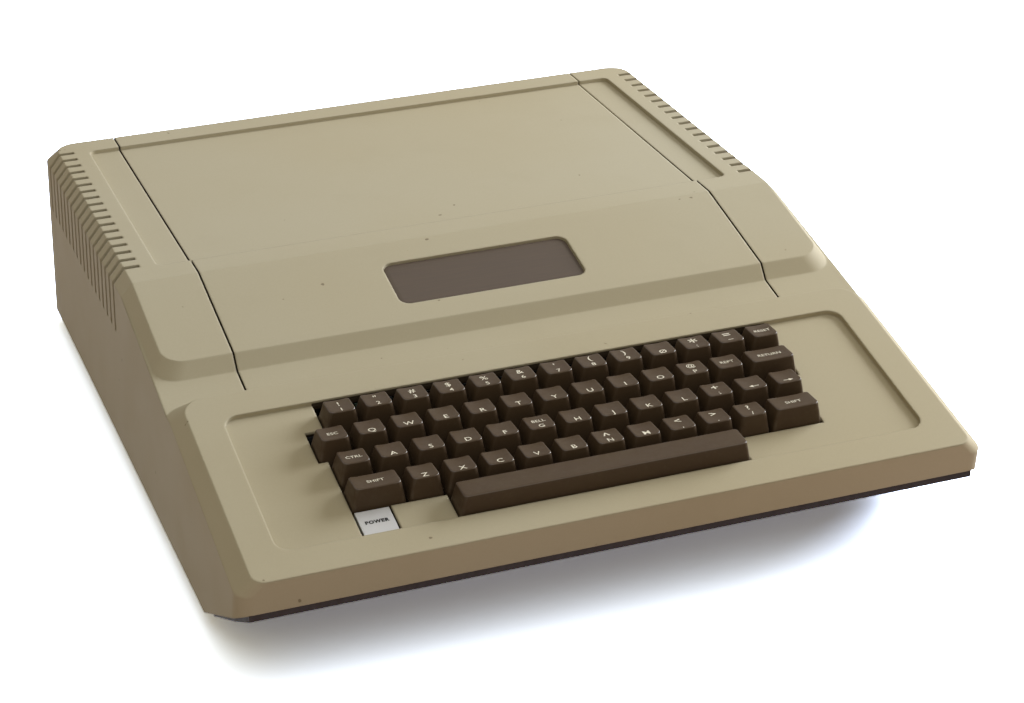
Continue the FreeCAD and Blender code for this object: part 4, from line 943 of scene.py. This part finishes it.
class COMPUTER_OT_finish_lamp(bpy.types.Operator):
    """Give the power lamp its milky cap and its word"""

    bl_idname = "computer.finish_lamp"
    bl_label = "Power Lamp"

    def execute(self, context):
        assign("power_lamp", lamp_plastic())
        low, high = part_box("power_lamp")
        points, faces = letter_shape("POWER", LAMP_WORD_SIZE, LAMP_WORD_WEIGHT)
        shape = bmesh.new()
        place = key_frame() @ Matrix.Translation(((low.x + high.x) / 2, *LAMP_WORD_PLACE))
        add_faces(shape, [place @ point for point in points], faces)
        ink = legend_ink("lamp_ink", (0.008, 0.008, 0.008), 0.5)
        new_piece("lamp_word", shape, ink, "case")
        return {"FINISHED"}


class COMPUTER_OT_finish_base(bpy.types.Operator):
    """Paint the base plate and finish the feet"""

    bl_idname = "computer.finish_base"
    bl_label = "Base Plate"

    def execute(self, context):
        assign("base_plate", base_paint())
        return {"FINISHED"}


def add_block(shape, low, size):
    """Closed box from its low corner."""
    low, size = Vector(low), Vector(size)
    rings = [[shape.verts.new((low.x + x * size.x, low.y + y * size.y, low.z + z * size.z))
              for x, y in ((0, 0), (1, 0), (1, 1), (0, 1))] for z in (0, 1)]
    bridge(shape, rings[0], rings[1])
    shape.faces.new(rings[0])
    shape.faces.new(rings[1])


def add_legs(shape, left, near, size):
    """Legs along both long sides of a chip."""
    count = int(size[0] / LEG_PITCH) + 1
    start = left + (size[0] - (count - 1) * LEG_PITCH - LEG_SIZE[0]) / 2
    for index in range(count):
        for side in (near - LEG_SIZE[1] * 0.75, near + size[1] - LEG_SIZE[1] * 0.25):
            add_block(shape, (start + index * LEG_PITCH, side, BOARD_TOP + LEG_LIFT), LEG_SIZE)


class COMPUTER_OT_finish_inside(bpy.types.Operator):
    """Finish the boards, the power supply, the switch plate and the rocker"""

    bl_idname = "computer.finish_inside"
    bl_label = "Inside and Back"

    def execute(self, context):
        assign("main_board", board_finish())
        assign("power_supply", supply_finish())
        assign("keyboard_frame", painted_steel())
        assign("power_switch", rocker_plastic())
        shape = bmesh.new()
        for row in range(CHIP_ROWS):
            near = SOCKET_LOW - (row + FIRST_CHIP_ROW) * CHIP_ROW_PITCH
            for place in range(CHIPS_IN_ROW):
                add_legs(shape, CHIP_LEFT + place * CHIP_PITCH, near, CHIP_SIZE)
        near = SOCKET_LOW - LARGE_CHIP_ROW * CHIP_ROW_PITCH
        for place in range(LARGE_CHIPS):
            add_legs(shape, CHIP_LEFT + place * LARGE_CHIP_PITCH, near, LARGE_CHIP_SIZE)
        new_piece("chip_legs", shape, leg_metal(), "case")
        return {"FINISHED"}


class COMPUTER_OT_set_stage(bpy.types.Operator):
    """Set up the floor, the light and the camera"""

    bl_idname = "computer.set_stage"
    bl_label = "Stage"

    def execute(self, context):
        settings = context.scene.computer_stage
        add_floor(settings)
        add_world(settings)
        add_lamps(settings)
        add_camera()
        context.scene.view_settings.view_transform = "Standard"
        return {"FINISHED"}


def ray_share(tree, rays):
    """One for the named kinds of ray, else zero."""
    path = tree.nodes.new("ShaderNodeLightPath")
    share = path.outputs[rays[0]]
    for ray in rays[1:]:
        larger = tree.nodes.new("ShaderNodeMath")
        larger.operation = "MAXIMUM"
        tree.links.new(share, larger.inputs[0])
        tree.links.new(path.outputs[ray], larger.inputs[1])
        share = larger.outputs["Value"]
    return share


def blend(tree, share, first, second):
    """Shader between two, by a share."""
    mix = tree.nodes.new("ShaderNodeMixShader")
    tree.links.new(share, mix.inputs["Fac"])
    tree.links.new(first, mix.inputs[1])
    tree.links.new(second, mix.inputs[2])
    return mix.outputs["Shader"]


def floor_paper(colour):
    """Paper that the camera sees as white, with the shadow kept; gloss and glass see white."""
    material = bpy.data.materials.new("floor_paper")
    material.use_nodes = True
    tree = material.node_tree
    surface = tree.nodes["Principled BSDF"]
    surface.inputs["Base Color"].default_value = (*colour, 1.0)
    surface.inputs["Roughness"].default_value = 0.9
    surface.inputs["Specular IOR Level"].default_value = 0.0
    mirrored = tree.nodes.new("ShaderNodeEmission")
    paper = tree.nodes.new("ShaderNodeBsdfDiffuse")
    paper.inputs["Color"].default_value = FLOOR_SEEN
    glow = tree.nodes.new("ShaderNodeEmission")
    glow.inputs["Strength"].default_value = FLOOR_GLOW
    seen = tree.nodes.new("ShaderNodeAddShader")
    tree.links.new(paper.outputs["BSDF"], seen.inputs[0])
    tree.links.new(glow.outputs["Emission"], seen.inputs[1])
    unseen = blend(tree, ray_share(tree, ("Is Glossy Ray", "Is Transmission Ray")),
                   surface.outputs["BSDF"], mirrored.outputs["Emission"])
    whole = blend(tree, ray_share(tree, ("Is Camera Ray",)), unseen, seen.outputs["Shader"])
    tree.links.new(whole, tree.nodes["Material Output"].inputs["Surface"])
    return material


def add_floor(settings):
    """Plain floor under the computer."""
    shape = bmesh.new()
    corners = [(x * FLOOR_REACH, y * FLOOR_REACH, 0.0)
               for x, y in ((-1, -1), (1, -1), (1, 1), (-1, 1))]
    add_faces(shape, corners, [(0, 1, 2, 3)])
    mesh = bpy.data.meshes.new("floor")
    shape.to_mesh(mesh)
    shape.free()
    floor = bpy.data.objects.new("floor", mesh)
    bpy.context.scene.collection.objects.link(floor)
    mesh.materials.append(floor_paper(settings.floor))


def add_world(settings):
    """Weak warm light from all sides; the camera, gloss and glass see white."""
    world = bpy.data.worlds.new("studio")
    bpy.context.scene.world = world
    world.use_nodes = True
    tree = world.node_tree
    back = tree.nodes["Background"]
    back.inputs["Color"].default_value = AMBIENT_COLOUR
    back.inputs["Strength"].default_value = settings.ambient
    white = tree.nodes.new("ShaderNodeBackground")
    white.inputs["Color"].default_value = WHITE
    share = ray_share(tree, ("Is Camera Ray", "Is Glossy Ray", "Is Transmission Ray"))
    whole = blend(tree, share, back.outputs["Background"], white.outputs["Background"])
    tree.links.new(whole, tree.nodes["World Output"].inputs["Surface"])


def add_lamps(settings):
    """Soft daylight from low on the right, and a weaker light from above."""
    window = bpy.data.lights.new("window", "AREA")
    window.shape = "DISK"
    window.size = WINDOW_SIZE
    window.energy = settings.window
    window.color = WINDOW_COLOUR
    ceiling = bpy.data.lights.new("ceiling", "SUN")
    ceiling.angle = CEILING_SPREAD
    ceiling.energy = settings.ceiling
    ceiling.color = CEILING_COLOUR
    for data, place in ((window, Vector(WINDOW_PLACE)), (ceiling, Vector(CEILING_PLACE))):
        lamp = bpy.data.objects.new(data.name, data)
        lamp.location = place
        lamp.rotation_euler = (-place).to_track_quat("-Z", "Y").to_euler()
        bpy.context.scene.collection.objects.link(lamp)


def add_camera():
    """Camera at the photograph's place."""
    data = bpy.data.cameras.new("camera")
    data.sensor_width = CAMERA_SENSOR
    data.lens = CAMERA_LENS
    camera = bpy.data.objects.new("camera", data)
    turn = Matrix((CAMERA_RIGHT, CAMERA_UP, CAMERA_BACK)).transposed().to_4x4()
    camera.matrix_world = Matrix.Translation(CAMERA_PLACE) @ turn
    bpy.context.scene.collection.objects.link(camera)
    bpy.context.scene.camera = camera


STEPS = (
    COMPUTER_OT_finish_case,
    COMPUTER_OT_build_keycaps,
    COMPUTER_OT_print_legends,
    COMPUTER_OT_fit_nameplate,
    COMPUTER_OT_finish_lamp,
    COMPUTER_OT_finish_base,
    COMPUTER_OT_finish_inside,
    COMPUTER_OT_set_stage,
)


class COMPUTER_PT_panel(bpy.types.Panel):
    """Lists the pieces of the computer"""

    bl_idname = "COMPUTER_PT_panel"
    bl_label = "Home Computer"
    bl_space_type = "VIEW_3D"
    bl_region_type = "UI"
    bl_category = "Computer"

    def draw(self, context):
        column = self.layout.column()
        for step in STEPS:
            column.operator(step.bl_idname)


SETTINGS = (
    ("computer_case", CaseSettings),
    ("computer_keys", KeySettings),
    ("computer_stage", StageSettings),
)


def register():
    """Registers the settings, the operators and the panel."""
    for name, group in SETTINGS:
        bpy.utils.register_class(group)
        setattr(bpy.types.Scene, name, PointerProperty(type=group))
    for step in STEPS:
        bpy.utils.register_class(step)
    bpy.utils.register_class(COMPUTER_PT_panel)


def unregister():
    """Takes everything out again."""
    bpy.utils.unregister_class(COMPUTER_PT_panel)
    for step in reversed(STEPS):
        bpy.utils.unregister_class(step)
    for name, group in reversed(SETTINGS):
        delattr(bpy.types.Scene, name)
        bpy.utils.unregister_class(group)


def main():
    """Builds the computer's looks, one step after the other."""
    register()
    for step in STEPS:
        group, name = step.bl_idname.split(".")
        getattr(getattr(bpy.ops, group), name)()


if __name__ == "__main__":
    main()
